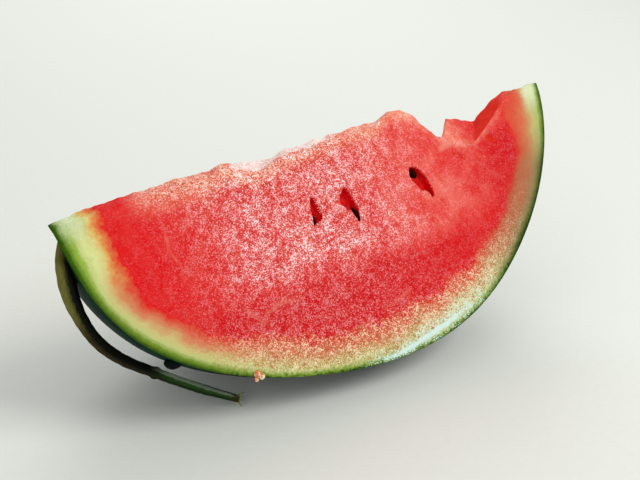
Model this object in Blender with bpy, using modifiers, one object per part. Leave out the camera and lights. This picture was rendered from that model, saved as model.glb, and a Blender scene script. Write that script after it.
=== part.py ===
"""A wedge of watermelon resting on its rind, with a torn upper ridge and its dried stem.

World frame: +X runs along the melon from the stem end to the blossom end, +Z is up, the table is z = 0.
The melon is first built about its own axis, then leaned and lifted until it rests on a small flat spot.
"""

from math import cos, pi, radians, sin, sqrt, tan

import bmesh
import bpy
from mathutils import Matrix, Vector

# The melon, in metres.
HALF_LENGTH = 0.115
MIDDLE_RADIUS = 0.0932
FULLER_NEAR_BLOSSOM = 0.086
NARROWER_AT_BLOSSOM = 0.2075
PROFILE_POINTS = 64
TURN_STEPS = 180

# The wedge cut from it.
HALF_ANGLE = radians(30)
APEX_HEIGHT = 0.008
CUT_DEPTH = 0.140

# The torn ridge: (place along the melon, half width, height) of each rise and dip.
RIDGE_RISE = 0.0045
RIDGE_FOOT = -0.0015
RIDGE_FEATURES = (
    (-0.044, 0.006, 0.0012),
    (-0.028, 0.014, -0.0036),
    (-0.010, 0.020, -0.0012),
    (0.037, 0.010, 0.0040),
)
RIDGE_STATIONS = 62
RIDGE_HALF_WIDTH = 0.022
RIDGE_COLUMNS = 6
# The tear at the blossom end, which runs slantwise across the ridge, further along towards the back:
# (place along the middle of the ridge, height there, climb towards the front). It all falls away to the back.
TEAR_LINE = (
    (0.0340, 0.0072, 0.00),
    (0.0420, 0.0060, 0.20),
    (0.0478, 0.0024, 0.50),
    (0.0505, -0.0012, 0.60),
    (0.0611, -0.0119, 0.60),
    (0.0645, -0.0134, 0.60),
    (0.0658, -0.0040, -0.44),
    (0.0749, -0.0073, -0.44),
    (0.0822, -0.0097, -0.28),
    (0.0842, -0.0074, -0.42),
    (0.0922, -0.0018, -0.55),
    (0.0975, 0.0009, -0.45),
    (0.1026, -0.0004, 0.45),
    (0.1085, -0.0006, 0.55),
    (0.1120, 0.0002, 0.50),
    (0.1180, -0.0006, 0.50),
)
TEAR_SLANT = 0.74
TEAR_BACK_FALL = 0.58
TEAR_BLEND = 0.004

# Where the wedge stands.
LEAN = radians(4)
LIFT = 0.09252
FLAT_SPOT_AT = 0.0062

# Hollows left by seeds: (along the melon, down the face, half width, half height, depth, turn).
FRONT_HOLLOWS = (
    (-0.0125, 0.0300, 0.0026, 0.0068, 0.0042, radians(6)),
    (0.0040, 0.0330, 0.0031, 0.0084, 0.0046, radians(-14)),
    (0.0400, 0.0325, 0.0028, 0.0084, 0.0040, radians(-32)),
)
BACK_HOLLOWS = (
    (-0.0420, 0.0380, 0.0028, 0.0070, 0.0040, radians(12)),
    (-0.0020, 0.0310, 0.0030, 0.0078, 0.0044, radians(-8)),
    (0.0330, 0.0360, 0.0027, 0.0072, 0.0040, radians(20)),
    (0.0580, 0.0300, 0.0026, 0.0066, 0.0038, radians(-18)),
)
OVAL_STANDOFF = 0.12
# A flake broken off the front face beside the torn end: middle, half sizes.
FLAKE_AT = (0.0690, 0.0230)
FLAKE_SIZE = (0.0260, 0.0330, 0.0016)

# The stem: points of its middle line about the melon's axis, each with the stem's radius there.
STEM_PATH = (
    ((-0.1112, -0.0035, -0.0050), 0.0032),
    ((-0.1144, -0.0076, -0.0088), 0.0034),
    ((-0.1163, -0.0118, -0.0128), 0.0035),
    ((-0.1168, -0.0140, -0.0196), 0.0034),
    ((-0.1140, -0.0140, -0.0340), 0.0027),
    ((-0.1093, -0.0150, -0.0455), 0.0026),
    ((-0.1033, -0.0155, -0.0536), 0.0024),
    ((-0.0913, -0.0190, -0.0637), 0.0021),
    ((-0.0749, -0.0235, -0.0759), 0.0021),
    ((-0.0606, -0.0270, -0.0852), 0.0015),
)
GAP = 0.0003


def clear_scene():
    for obj in list(bpy.data.objects):
        bpy.data.objects.remove(obj, do_unlink=True)


def melon_radius(x):
    """Radius of the melon at x along its axis: an oval, blunt at the stem end and narrower at the blossom end."""
    share = max(-1.0, min(x / HALF_LENGTH, 1.0))
    oval = MIDDLE_RADIUS * sqrt(1.0 - share * share)
    return oval * (1.0 + FULLER_NEAR_BLOSSOM * share - NARROWER_AT_BLOSSOM * share**3)


def swell(x, middle, half_width):
    """1 at the middle, falling smoothly to 0 at half_width to either side."""
    away = min(abs(x - middle) / half_width, 1.0)
    return 0.5 + 0.5 * cos(pi * away)


def between(rows, place):
    """The later values of the rows at this place, on straight lines from one row to the next."""
    place = max(rows[0][0], min(place, rows[-1][0]))
    for first, second in zip(rows, rows[1:]):
        if place <= second[0]:
            break
    share = (place - first[0]) / (second[0] - first[0])
    return [a + share * (b - a) for a, b in zip(first[1:], second[1:])]


def ridge_height(place, y):
    """Height of the torn top over the melon's axis. place is where the slanting line through the point meets y = 0."""
    usual = RIDGE_FOOT + RIDGE_RISE * (1.0 - min(abs(place) / HALF_LENGTH, 1.0) ** 8)
    usual += sum(rise * swell(place, at, wide) for at, wide, rise in RIDGE_FEATURES)
    crest, climb = between(TEAR_LINE, place)
    torn = crest - (climb if y < 0.0 else TEAR_BACK_FALL) * y
    share = max(0.0, min((place - TEAR_LINE[0][0]) / TEAR_BLEND, 1.0))
    height = usual + share * share * (3.0 - 2.0 * share) * (torn - usual)
    return height + 0.0003 * sin(place * 900.0 + y * 300.0) * sin(place * 410.0 - y * 200.0)


def placement():
    """From the melon's own axis to the world: leaned, lifted, and the flat spot brought over the origin."""
    return Matrix.Translation((-FLAT_SPOT_AT, 0.0, LIFT)) @ Matrix.Rotation(-LEAN, 4, "Y")


def face_frame(side):
    """Axes of a cut face: along the melon, down the face, and square to it. side is -1 for the front, 1 for the back."""
    along = Vector((1.0, 0.0, 0.0))
    down = Vector((0.0, side * sin(HALF_ANGLE), -cos(HALF_ANGLE)))
    return along, down, along.cross(down)


def material(name, colour, roughness):
    made = bpy.data.materials.new(name)
    made.use_nodes = True
    shader = made.node_tree.nodes["Principled BSDF"]
    shader.inputs["Base Color"].default_value = (*colour, 1.0)
    shader.inputs["Roughness"].default_value = roughness
    shader.inputs["Metallic"].default_value = 0.0
    return made


def collection(name):
    made = bpy.data.collections.new(name)
    bpy.context.scene.collection.children.link(made)
    return made


def mesh_object(name, points, faces, into):
    mesh = bpy.data.meshes.new(name)
    mesh.from_pydata(points, [], faces)
    obj = bpy.data.objects.new(name, mesh)
    into.objects.link(obj)
    return obj


def face_outwards(obj):
    shape = bmesh.new()
    shape.from_mesh(obj.data)
    bmesh.ops.recalc_face_normals(shape, faces=shape.faces)
    shape.to_mesh(obj.data)
    shape.free()


def as_cutter(obj):
    obj.display_type = "WIRE"
    obj.hide_render = True
    return obj


def add_boolean(obj, cutter, operation):
    """Splits every face into triangles first: a long flat face with many corners is never quite flat."""
    obj.modifiers.new(f"{cutter.name}_triangles", "TRIANGULATE")
    modifier = obj.modifiers.new(cutter.name, "BOOLEAN")
    modifier.object = cutter
    modifier.operation = operation
    modifier.solver = "EXACT"


def turned_melon(name, grow, into):
    """The whole melon: its outline turned about Z by a Screw, then laid along X with the blossom end at +X."""
    points = []
    for i in range(PROFILE_POINTS + 1):
        x = HALF_LENGTH * cos(pi * i / PROFILE_POINTS)
        radius = melon_radius(x) * (1.0 + grow / MIDDLE_RADIUS)
        points.append((radius, 0.0, x * (1.0 + grow / HALF_LENGTH)))
    mesh = bpy.data.meshes.new(name)
    mesh.from_pydata(points, [(i, i + 1) for i in range(PROFILE_POINTS)], [])
    obj = bpy.data.objects.new(name, mesh)
    into.objects.link(obj)
    screw = obj.modifiers.new("Screw", "SCREW")
    screw.axis = "Z"
    screw.angle = 2.0 * pi
    screw.steps = TURN_STEPS
    screw.render_steps = TURN_STEPS
    screw.use_merge_vertices = True
    screw.merge_threshold = 0.00001
    obj.matrix_world = placement() @ Matrix.Rotation(pi / 2, 4, "Y")
    return obj


def cut_prism(into):
    """The wedge's two flat cuts, as a long three-sided bar whose top edge is the apex."""
    half = HALF_LENGTH + 0.02
    foot = CUT_DEPTH * tan(HALF_ANGLE)
    points = []
    for x in (-half, half):
        points.append((x, 0.0, APEX_HEIGHT))
        points.append((x, -foot, APEX_HEIGHT - CUT_DEPTH))
        points.append((x, foot, APEX_HEIGHT - CUT_DEPTH))
    faces = [(0, 1, 2), (3, 5, 4), (0, 3, 4, 1), (1, 4, 5, 2), (2, 5, 3, 0)]
    obj = mesh_object("cut_prism", points, faces, into)
    face_outwards(obj)
    obj.matrix_world = placement()
    return as_cutter(obj)


def ridge_places():
    """Where the lines across the torn top stand: evenly spaced, and at each corner of the tear."""
    half = HALF_LENGTH + RIDGE_HALF_WIDTH
    even = [half * (2.0 * i / RIDGE_STATIONS - 1.0) for i in range(RIDGE_STATIONS + 1)]
    corners = [row[0] for row in TEAR_LINE]
    kept = [place for place in even if min(abs(place - corner) for corner in corners) > 0.0012]
    return sorted(kept + corners)


def torn_top(into):
    """A block over the wedge whose underside is the torn top."""
    shape = bmesh.new()
    rows = []
    for place in ridge_places():
        row = []
        for j in range(RIDGE_COLUMNS + 1):
            y = RIDGE_HALF_WIDTH * (2.0 * j / RIDGE_COLUMNS - 1.0)
            row.append(shape.verts.new((place + TEAR_SLANT * y, y, ridge_height(place, y))))
        rows.append(row)
    for first, second in zip(rows, rows[1:]):
        for j in range(RIDGE_COLUMNS):
            shape.faces.new((first[j], first[j + 1], second[j + 1], second[j]))
    under = list(shape.faces)
    lifted = bmesh.ops.extrude_face_region(shape, geom=under)
    upper = [item for item in lifted["geom"] if isinstance(item, bmesh.types.BMVert)]
    for vertex in upper:
        vertex.co.z = APEX_HEIGHT + 0.010
    bmesh.ops.recalc_face_normals(shape, faces=shape.faces)
    mesh = bpy.data.meshes.new("torn_top")
    shape.to_mesh(mesh)
    shape.free()
    obj = bpy.data.objects.new("torn_top", mesh)
    into.objects.link(obj)
    obj.matrix_world = placement()
    return as_cutter(obj)


def oval_cutter(name, side, along, down, sizes, turn, into):
    """An oval set into a cut face, its middle a little outside the face."""
    along_axis, down_axis, square_axis = face_frame(side)
    turned = Matrix.Rotation(turn, 3, "Z")
    axes = Matrix((along_axis, down_axis, square_axis)).transposed()
    middle = Vector((0.0, 0.0, APEX_HEIGHT)) + along * along_axis + down * down_axis
    middle += side * OVAL_STANDOFF * sizes[2] * square_axis
    shape = bmesh.new()
    bmesh.ops.create_icosphere(shape, subdivisions=2, radius=1.0)
    for vertex in shape.verts:
        scaled = Vector(vertex.co[i] * sizes[i] for i in range(3))
        vertex.co = middle + axes @ (turned @ scaled)
    mesh = bpy.data.meshes.new(name)
    shape.to_mesh(mesh)
    shape.free()
    obj = bpy.data.objects.new(name, mesh)
    into.objects.link(obj)
    obj.matrix_world = placement()
    return as_cutter(obj)


def flat_spot(into):
    """Everything below the table, so that the rind rests on a small flat spot."""
    shape = bmesh.new()
    bmesh.ops.create_cube(shape, size=0.1, matrix=Matrix.Translation((0.0, 0.0, -0.05)))
    mesh = bpy.data.meshes.new("flat_spot")
    shape.to_mesh(mesh)
    shape.free()
    obj = bpy.data.objects.new("flat_spot", mesh)
    into.objects.link(obj)
    return as_cutter(obj)


def build_wedge(parts, cutters):
    wedge = turned_melon("wedge", 0.0, parts)
    add_boolean(wedge, cut_prism(cutters), "INTERSECT")
    add_boolean(wedge, torn_top(cutters), "DIFFERENCE")
    hollows = [(-1, *row) for row in FRONT_HOLLOWS] + [(1, *row) for row in BACK_HOLLOWS]
    for number, (side, along, down, wide, high, deep, turn) in enumerate(hollows, 1):
        name = f"seed_hollow_{number}"
        cutter = oval_cutter(name, side, along, down, (wide, high, deep), turn, cutters)
        add_boolean(wedge, cutter, "DIFFERENCE")
    flake = oval_cutter("flake", -1, *FLAKE_AT, FLAKE_SIZE, 0.0, cutters)
    add_boolean(wedge, flake, "DIFFERENCE")
    add_boolean(wedge, flat_spot(cutters), "DIFFERENCE")
    wedge.data.materials.append(material("wedge", (0.72, 0.10, 0.09), 0.35))
    return wedge


def build_stem(parts, cutters):
    """The dried stem: a tapered curve turned to a mesh, its upper end shaped to sit against the rind."""
    curve = bpy.data.curves.new("stem_line", "CURVE")
    curve.dimensions = "3D"
    curve.bevel_depth = 1.0
    curve.bevel_resolution = 4
    curve.resolution_u = 6
    curve.use_fill_caps = True
    line = curve.splines.new("BEZIER")
    line.bezier_points.add(len(STEM_PATH) - 1)
    for point, (place, radius) in zip(line.bezier_points, STEM_PATH):
        point.co = place
        point.radius = radius
        point.handle_left_type = "AUTO"
        point.handle_right_type = "AUTO"
    guide = bpy.data.objects.new("stem_guide", curve)
    cutters.objects.link(guide)
    bpy.context.view_layer.update()
    graph = bpy.context.evaluated_depsgraph_get()
    mesh = bpy.data.meshes.new_from_object(guide.evaluated_get(graph))
    bpy.data.objects.remove(guide, do_unlink=True)
    shape = bmesh.new()
    shape.from_mesh(mesh)
    bmesh.ops.remove_doubles(shape, verts=shape.verts, dist=0.00001)
    bmesh.ops.recalc_face_normals(shape, faces=shape.faces)
    shape.to_mesh(mesh)
    shape.free()
    mesh.name = "stem"
    stem = bpy.data.objects.new("stem", mesh)
    parts.objects.link(stem)
    stem.matrix_world = placement()
    seat = as_cutter(turned_melon("stem_seat", GAP, cutters))
    add_boolean(stem, seat, "DIFFERENCE")
    stem.data.materials.clear()
    stem.data.materials.append(material("stem", (0.09, 0.10, 0.03), 0.6))
    return stem


def main():
    clear_scene()
    parts = collection("watermelon_wedge")
    cutters = collection("cutters")
    cutters.hide_render = True
    build_wedge(parts, cutters)
    build_stem(parts, cutters)


main()
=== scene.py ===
"""Looks for a wedge of watermelon: skin, rind and torn flesh, seed hollows, seeds, drips and its dried stem.

The melon is shaped about its own axis, +X towards the blossom end, with its front cut facing -Y, and is
then leaned and lifted onto the table. Sizes are in metres. A place on a cut face is given as (along the
melon, down the face from the line where the two cuts would meet).
"""

from math import asin, atan2, cos, pi, radians, sin, sqrt, tan

import bmesh
import bpy
import numpy as np
from bpy.props import FloatProperty, FloatVectorProperty, PointerProperty
from bpy.types import Operator, Panel, PropertyGroup
from mathutils import Matrix, Vector, noise


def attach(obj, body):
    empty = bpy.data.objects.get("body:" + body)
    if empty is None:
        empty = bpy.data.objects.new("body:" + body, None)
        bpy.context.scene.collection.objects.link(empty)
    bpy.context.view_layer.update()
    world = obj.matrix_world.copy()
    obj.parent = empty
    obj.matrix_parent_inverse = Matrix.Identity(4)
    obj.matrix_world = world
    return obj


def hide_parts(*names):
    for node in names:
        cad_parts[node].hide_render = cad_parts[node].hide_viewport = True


bl_info = {
    "name": "Watermelon Wedge",
    "version": (1, 0, 0),
    "blender": (4, 5, 0),
    "location": "View3D > Sidebar > Melon",
    "description": "Models a wedge of watermelon with torn flesh, seed hollows, drips and its stem",
    "category": "Add Mesh",
}

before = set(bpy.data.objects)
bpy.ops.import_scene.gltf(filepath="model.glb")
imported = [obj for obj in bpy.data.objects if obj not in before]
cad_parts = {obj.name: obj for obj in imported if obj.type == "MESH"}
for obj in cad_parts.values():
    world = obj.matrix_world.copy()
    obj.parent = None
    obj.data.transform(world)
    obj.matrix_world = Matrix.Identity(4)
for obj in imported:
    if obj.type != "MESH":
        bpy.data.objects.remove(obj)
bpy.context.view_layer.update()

# The torn ridge: its height over the axis at the ends, how much higher it is in the middle, and its rises and
# dips as (place along the melon, half width, height).
RIDGE_FOOT = -0.0015
RIDGE_RISE = 0.0045
RIDGE_FEATURES = (
    (-0.044, 0.006, 0.0012),
    (-0.028, 0.014, -0.0036),
    (-0.010, 0.020, -0.0012),
    (0.037, 0.010, 0.0040),
)
# The tear at the blossom end: (place along the middle of the ridge, height there, climb towards the front).
TEAR_LINE = (
    (0.0340, 0.0072, 0.00),
    (0.0420, 0.0060, 0.20),
    (0.0478, 0.0024, 0.50),
    (0.0505, -0.0012, 0.60),
    (0.0611, -0.0119, 0.60),
    (0.0645, -0.0134, 0.60),
    (0.0658, -0.0040, -0.44),
    (0.0749, -0.0073, -0.44),
    (0.0822, -0.0097, -0.28),
    (0.0842, -0.0074, -0.42),
    (0.0922, -0.0018, -0.55),
    (0.0975, 0.0009, -0.45),
    (0.1026, -0.0004, 0.45),
    (0.1085, -0.0006, 0.55),
    (0.1120, 0.0002, 0.50),
    (0.1180, -0.0006, 0.50),
)
# How steeply the tear falls away to the back, how far it runs along for each metre towards the back, the
# length over which that slant fades at both ends, and the length over which the ridge turns into the tear.
TEAR_BACK_FALL = 0.58
TEAR_SLANT = 0.84
TEAR_FADE = 0.020
TEAR_BLEND = 0.004

# Hollows left by seeds in the front face: points round each on the face, and its depth.
FRONT_HOLLOWS = (
    (
        (
            (-0.0114, 0.0246),
            (-0.0094, 0.0290),
            (-0.0091, 0.0335),
            (-0.0100, 0.0362),
            (-0.0131, 0.0366),
            (-0.0146, 0.0377),
            (-0.0139, 0.0338),
            (-0.0139, 0.0304),
            (-0.0127, 0.0270),
        ),
        0.0034,
    ),
    (
        (
            (0.0043, 0.0253),
            (0.0056, 0.0267),
            (0.0070, 0.0310),
            (0.0079, 0.0355),
            (0.0068, 0.0414),
            (0.0060, 0.0412),
            (0.0040, 0.0358),
            (0.0022, 0.0346),
            (0.0002, 0.0320),
            (0.0010, 0.0286),
        ),
        0.0038,
    ),
    (
        (
            (0.0368, 0.0260),
            (0.0402, 0.0268),
            (0.0430, 0.0302),
            (0.0452, 0.0355),
            (0.0458, 0.0410),
            (0.0440, 0.0420),
            (0.0412, 0.0378),
            (0.0393, 0.0376),
            (0.0374, 0.0342),
            (0.0357, 0.0305),
        ),
        0.0034,
    ),
)
# Hollows in the back face, as ovals: (along, down, half width, half height, depth, turn).
BACK_HOLLOWS = (
    (-0.0420, 0.0380, 0.0028, 0.0070, 0.0040, radians(12)),
    (-0.0020, 0.0310, 0.0030, 0.0078, 0.0044, radians(-8)),
    (0.0330, 0.0360, 0.0027, 0.0072, 0.0040, radians(20)),
    (0.0580, 0.0300, 0.0026, 0.0066, 0.0038, radians(-18)),
)
# How far inside a front hollow's outline counts as its middle.
HOLLOW_BANK = 0.0020
# How full the back hollows and the dents are: 2 would make plain ovals, and 1 diamonds.
OVAL_FULLNESS = 1.6
# Shallow dents torn in the front face near the broken end, as ovals, each with how deep red it is.
FRONT_DENTS = (
    ((0.0814, 0.0251, 0.0040, 0.0022, 0.0013, radians(45)), 0.95),
    ((0.0868, 0.0208, 0.0018, 0.0013, 0.0005, radians(20)), 0.55),
    ((0.0612, 0.0267, 0.0018, 0.0008, 0.0010, radians(-20)), 0.90),
    ((0.0642, 0.0286, 0.0034, 0.0008, 0.0010, radians(56)), 0.85),
    ((0.0742, 0.0295, 0.0040, 0.0010, 0.0006, radians(30)), 0.60),
    ((0.0747, 0.0214, 0.0016, 0.0026, 0.0006, 0.0), 0.50),
    ((0.0541, 0.0293, 0.0020, 0.0024, 0.0006, 0.0), 0.45),
    ((0.0490, 0.0212, 0.0040, 0.0010, 0.0005, radians(24)), 0.35),
)
# The edge of a broken flake, from the third hollow down the face: its ends, how far the face steps in there,
# and how far on it has mostly come back out.
FLAKE_EDGE = ((0.0405, 0.0350), (0.0495, 0.0585))
FLAKE_STEP = 0.0015
FLAKE_FADE = 0.012

# Pale veins in the front face, as points on the face, with a half width and a strength each. The ones near
# the tear are pale torn edges, their paleness partly a painted highlight.
VEINS = (
    (((-0.0750, 0.0190), (-0.0760, 0.0280), (-0.0730, 0.0376), (-0.0700, 0.0405)), 0.0005, 0.22),
    (
        ((-0.0540, 0.0600), (-0.0484, 0.0675), (-0.0462, 0.0640), (-0.0396, 0.0620), (-0.0333, 0.0626)),
        0.0008,
        0.22,
    ),
    (((0.0050, 0.0790), (0.0130, 0.0775), (0.0190, 0.0745)), 0.0007, 0.25),
    (((0.0735, 0.0237), (0.0772, 0.0216)), 0.0013, 0.38),
    (((0.0778, 0.0212), (0.0806, 0.0196)), 0.0020, 0.50),
    (((0.0806, 0.0196), (0.0879, 0.0167)), 0.0013, 0.22),
    (((0.0570, 0.0222), (0.0598, 0.0212)), 0.0021, 0.48),
    (((-0.0060, 0.0262), (-0.0026, 0.0308), (-0.0004, 0.0353), (0.0010, 0.0372)), 0.0004, 0.45),
)
# The white smear of painted glare that runs down from the ridge's dip.
PAINTED_GLARE_SMEAR = ((-0.0409, 0.0055), (-0.0345, 0.0112))
# Deeper orange-red seams between the flesh's fibres, in the same terms.
SEAMS = (
    (((-0.0364, 0.0150), (-0.0200, 0.0146), (0.0020, 0.0126)), 0.0009, 0.70),
    (((-0.0005, 0.0093), (0.0019, 0.0173)), 0.0008, 0.60),
    (((-0.0056, 0.0179), (-0.0068, 0.0317)), 0.0009, 0.50),
    (((0.0065, 0.0221), (0.0134, 0.0275)), 0.0008, 0.50),
    (((0.0189, 0.0075), (0.0183, 0.0144)), 0.0009, 0.45),
    (((-0.0199, 0.0207), (-0.0221, 0.0293)), 0.0008, 0.40),
    (((0.0300, 0.0150), (0.0330, 0.0240)), 0.0010, 0.30),
)

# The stem end, where the front cut turns back: where it starts, how far it turns and how far down,
# and how far the skin behind it falls away.
STEM_END_FROM = -0.1030
STEM_END_TURN = 0.0076
STEM_END_DROP = 0.0100
STEM_END_FALL = 0.0032
# How far further out the blossom end's skin stands, and how much lower its far rim is.
BLOSSOM_END_GROWTH = 0.0007
FAR_RIM_DROP = 0.0016

# How the rind's thickness changes along the outline: (place, half width, change).
RIND_SWELLS = (
    (-0.078, 0.026, -0.0010),
    (0.018, 0.044, 0.0026),
    (0.054, 0.038, 0.0026),
    (0.104, 0.034, -0.0008),
    (0.1140, 0.0100, 0.0060),
    (-0.1150, 0.0040, 0.0028),
    (-0.1105, 0.0035, 0.0012),
)
# Paler and redder patches of the flesh, with stronger or weaker painted glints: (along, down, half width,
# half height, change in frost and painted glints).
FROST_AND_GLINT_PATCHES = (
    (-0.012, 0.043, 0.020, 0.009, 0.26),
    (-0.017, 0.018, 0.010, 0.007, 0.22),
    (0.020, 0.019, 0.022, 0.010, 0.14),
    (-0.062, 0.012, 0.016, 0.008, 0.30),
    (0.009, 0.033, 0.008, 0.010, -0.20),
    (-0.003, 0.024, 0.007, 0.007, -0.18),
    (0.040, 0.020, 0.012, 0.010, -0.20),
    (0.030, 0.053, 0.014, 0.008, 0.20),
    (0.050, 0.042, 0.012, 0.009, 0.16),
)

# Small waves in the surfaces: (height, waves to the metre, seed of the noise).
FACE_WAVES = ((0.00030, 45.0, 1),)
TORN_WAVES = ((0.00075, 150.0, 4), (0.00045, 340.0, 5), (0.00022, 760.0, 6))
SKIN_WAVES = ((0.00035, 26.0, 7), (0.00008, 140.0, 8))
# Raggedness of the hollows' outlines, as a share of their size.
HOLLOW_RAGGED = ((0.13, 420.0, 11), (0.10, 1100.0, 12))
DENT_RAGGED = ((0.22, 380.0, 15),)

# Rows of faces round the wedge: half the torn strip, the front face, the skin, the back face, and the
# other half of the strip. The rim rows are those along the two edges between the skin and the cuts.
STRIP_ROWS = 14
FRONT_ROWS = 112
SKIN_ROWS = 38
BACK_ROWS = 74
TOTAL_ROWS = 2 * STRIP_ROWS + FRONT_ROWS + SKIN_ROWS + BACK_ROWS
RIM_ROWS = (STRIP_ROWS + FRONT_ROWS, STRIP_ROWS + FRONT_ROWS + SKIN_ROWS)
# Stations along the wedge, and the melon's radius at the last one before each pole.
STATIONS = 306
END_RADIUS = 0.0060
# Points of the melon's outline, and how many of them count as one of its ends.
OUTLINE_POINTS = 1201
OUTLINE_END = 200
# Points nearer than this are one point.
WELD = 0.0000005
# How far out, as a share of a hollow's size, the faces round it are divided.
REFINED_TO = 1.45
# The relief dies away over this much radius towards the poles, and over this depth at the skin's edge.
POLE_FADE = 0.012
EDGE_FADE = 0.0012
# How much the veins stand out of the face and the seams lie in it, where they are strongest.
VEIN_RISE = 0.0003
SEAM_DROP = 0.0002
# How far down the face the pale frosting of the flesh and its painted glints start and finish fading.
FROST_AND_GLINT_FADE = (0.046, 0.064)
# Where the flesh's fibres fan out from on the plane of a cut face, and how far across an angle of 1 counts.
FAN_ORIGIN = (-0.020, -0.063)
FAN_REACH = 0.096

# The stem: points of its middle line about the melon's axis, each with the stem's radius there.
STEM_PATH = (
    ((-0.1096, 0.0026, -0.0081), 0.0032),
    ((-0.1128, -0.0015, -0.0119), 0.0034),
    ((-0.1148, -0.0062, -0.0157), 0.0035),
    ((-0.1155, -0.0092, -0.0220), 0.0034),
    ((-0.1134, -0.0116, -0.0352), 0.0027),
    ((-0.1091, -0.0141, -0.0459), 0.0026),
    ((-0.1033, -0.0155, -0.0536), 0.0024),
    ((-0.0913, -0.0190, -0.0637), 0.0021),
    ((-0.0749, -0.0235, -0.0759), 0.0021),
    ((-0.0606, -0.0270, -0.0852), 0.0015),
)
# Faces round the stem and along it.
STEM_SIDES = 28
STEM_RINGS = 240
# Which way the stem's painted lit side faces at its root; the side away from it gets painted shade.
STEM_LIT_SIDE = (-1.0, -0.35, 0.1)
# The joint in the stem: its share of the way along, half its length as a share, and how much it swells.
STEM_JOINT = (0.655, 0.020, 0.28)
# Frayed fibres at the stem's end.
FIBRES = 11
FIBRE_THICKNESS = 0.00060

# Each seed: (along, down, side, out of the face, half sizes, turn, how far the tip is drawn in).
SEEDS = (
    (0.0062, 0.0382, -1.0, -0.0012, (0.0013, 0.0036, 0.0010), radians(-20), 0.35),
    (0.0378, 0.0290, -1.0, -0.0010, (0.0018, 0.0028, 0.0009), radians(-34), 0.30),
    (-0.0134, 0.0354, -1.0, -0.0011, (0.0010, 0.0022, 0.0008), radians(8), 0.30),
    (-0.0416, 0.0400, 1.0, -0.0024, (0.0018, 0.0040, 0.0011), radians(12), 0.35),
    (0.0336, 0.0345, 1.0, -0.0022, (0.0017, 0.0038, 0.0011), radians(20), 0.35),
)
# Lumps of the crumb on the rind, and the dark drop: (along, down, out of the face, half sizes, hang).
CRUMB_LUMPS = (
    (-0.0580, 0.0848, 0.0006, (0.0016, 0.0012, 0.0015), 0.0002),
    (-0.0566, 0.0862, 0.0006, (0.0012, 0.0010, 0.0012), 0.0002),
    (-0.0592, 0.0866, 0.0006, (0.0009, 0.0008, 0.0009), 0.0002),
)
# The drop is coloured near black as painted shade, since it hangs in the shadow under the skin.
DARK_DROP = ((-0.0868, 0.0692, -0.0040, (0.0042, 0.0028, 0.0024), 0.0006),)

# Cells to the metre in the flesh and in the seed hollows.
FLESH_CELLS = 2450.0
HOLLOW_CELLS = 900.0
# How strongly wet flesh bends light.
WET_IOR = 1.36
# A Mix node's sockets when it mixes colours: the share, the two colours and the result.
MIX_SHARE, MIX_FIRST, MIX_SECOND = 0, 6, 7
MIX_RESULT = 2

# The table's half width, how far it lies under the melon, and the strength of the light all round and of the
# backdrop.
TABLE_HALF_WIDTH = 4.0
TABLE_GAP = 0.0001
ROOM_LIGHT = 0.42
BACKDROP_LIGHT = 0.80
# Where the camera stands and how it is turned.
CAMERA_AT = (-0.2277, -0.3649, 0.25658)
CAMERA_HEADING = radians(-31.41)
CAMERA_TILT = radians(64.2)
CAMERA_ROLL = radians(-0.14)
CAMERA_LENS = 61.9
# The lamps: (name, direction it shines from, distance, width, strength).
LAMPS = (
    ("key", (0.45, -0.60, 0.75), 1.1, 0.50, 6.3),
    ("back", (0.35, 0.80, 0.75), 1.2, 0.70, 5.0),
    ("fill", (-0.80, -0.50, 0.40), 1.3, 1.00, 3.6),
)


def srgb(red, green, blue):
    """A colour given from 0 to 255 as it looks, turned to the linear light that shaders use."""
    shares = (red / 255.0, green / 255.0, blue / 255.0)
    return tuple(c / 12.92 if c <= 0.04045 else ((c + 0.055) / 1.055) ** 2.4 for c in shares)


def colour_property(label, description, colour):
    return FloatVectorProperty(
        name=label, description=description, default=srgb(*colour), subtype="COLOR", min=0.0, max=1.0
    )


def length_property(label, description, metres):
    return FloatProperty(name=label, description=description, default=metres, unit="LENGTH", precision=5)


def share_property(label, description, share):
    return FloatProperty(name=label, description=description, default=share, subtype="FACTOR", min=0, max=1)


def angle_property(label, description, degrees):
    return FloatProperty(name=label, description=description, default=radians(degrees), subtype="ANGLE")


class MelonSizes(PropertyGroup):
    """Sizes of the melon and of the wedge cut from it."""

    half_length: length_property("Half length", "From the melon's middle to either end", 0.115)
    middle_radius: length_property("Middle radius", "Radius of the oval at the melon's middle", 0.0932)
    fuller_near_blossom: share_property("Fuller near blossom", "How much it swells past its middle", 0.086)
    narrower_at_blossom: share_property("Narrower at blossom", "How much the blossom end draws in", 0.2075)
    half_angle: angle_property("Half angle", "Half of the angle between the two cuts", 30.0)
    apex_height: length_property("Apex height", "How far over the melon's axis the two cuts meet", 0.008)
    lean: angle_property("Lean", "How far the wedge is leaned up at the blossom end", 4.0)
    lift: length_property("Lift", "Height of the melon's axis over the table", 0.09252)
    flat_spot_at: length_property("Flat spot at", "Where along the melon it rests on the table", 0.0062)
    rind: length_property("Rind", "Usual depth from the skin to the red flesh", 0.0124)
    grain: length_property("Grain", "Height of the flesh's small lumps", 0.00020)


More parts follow.
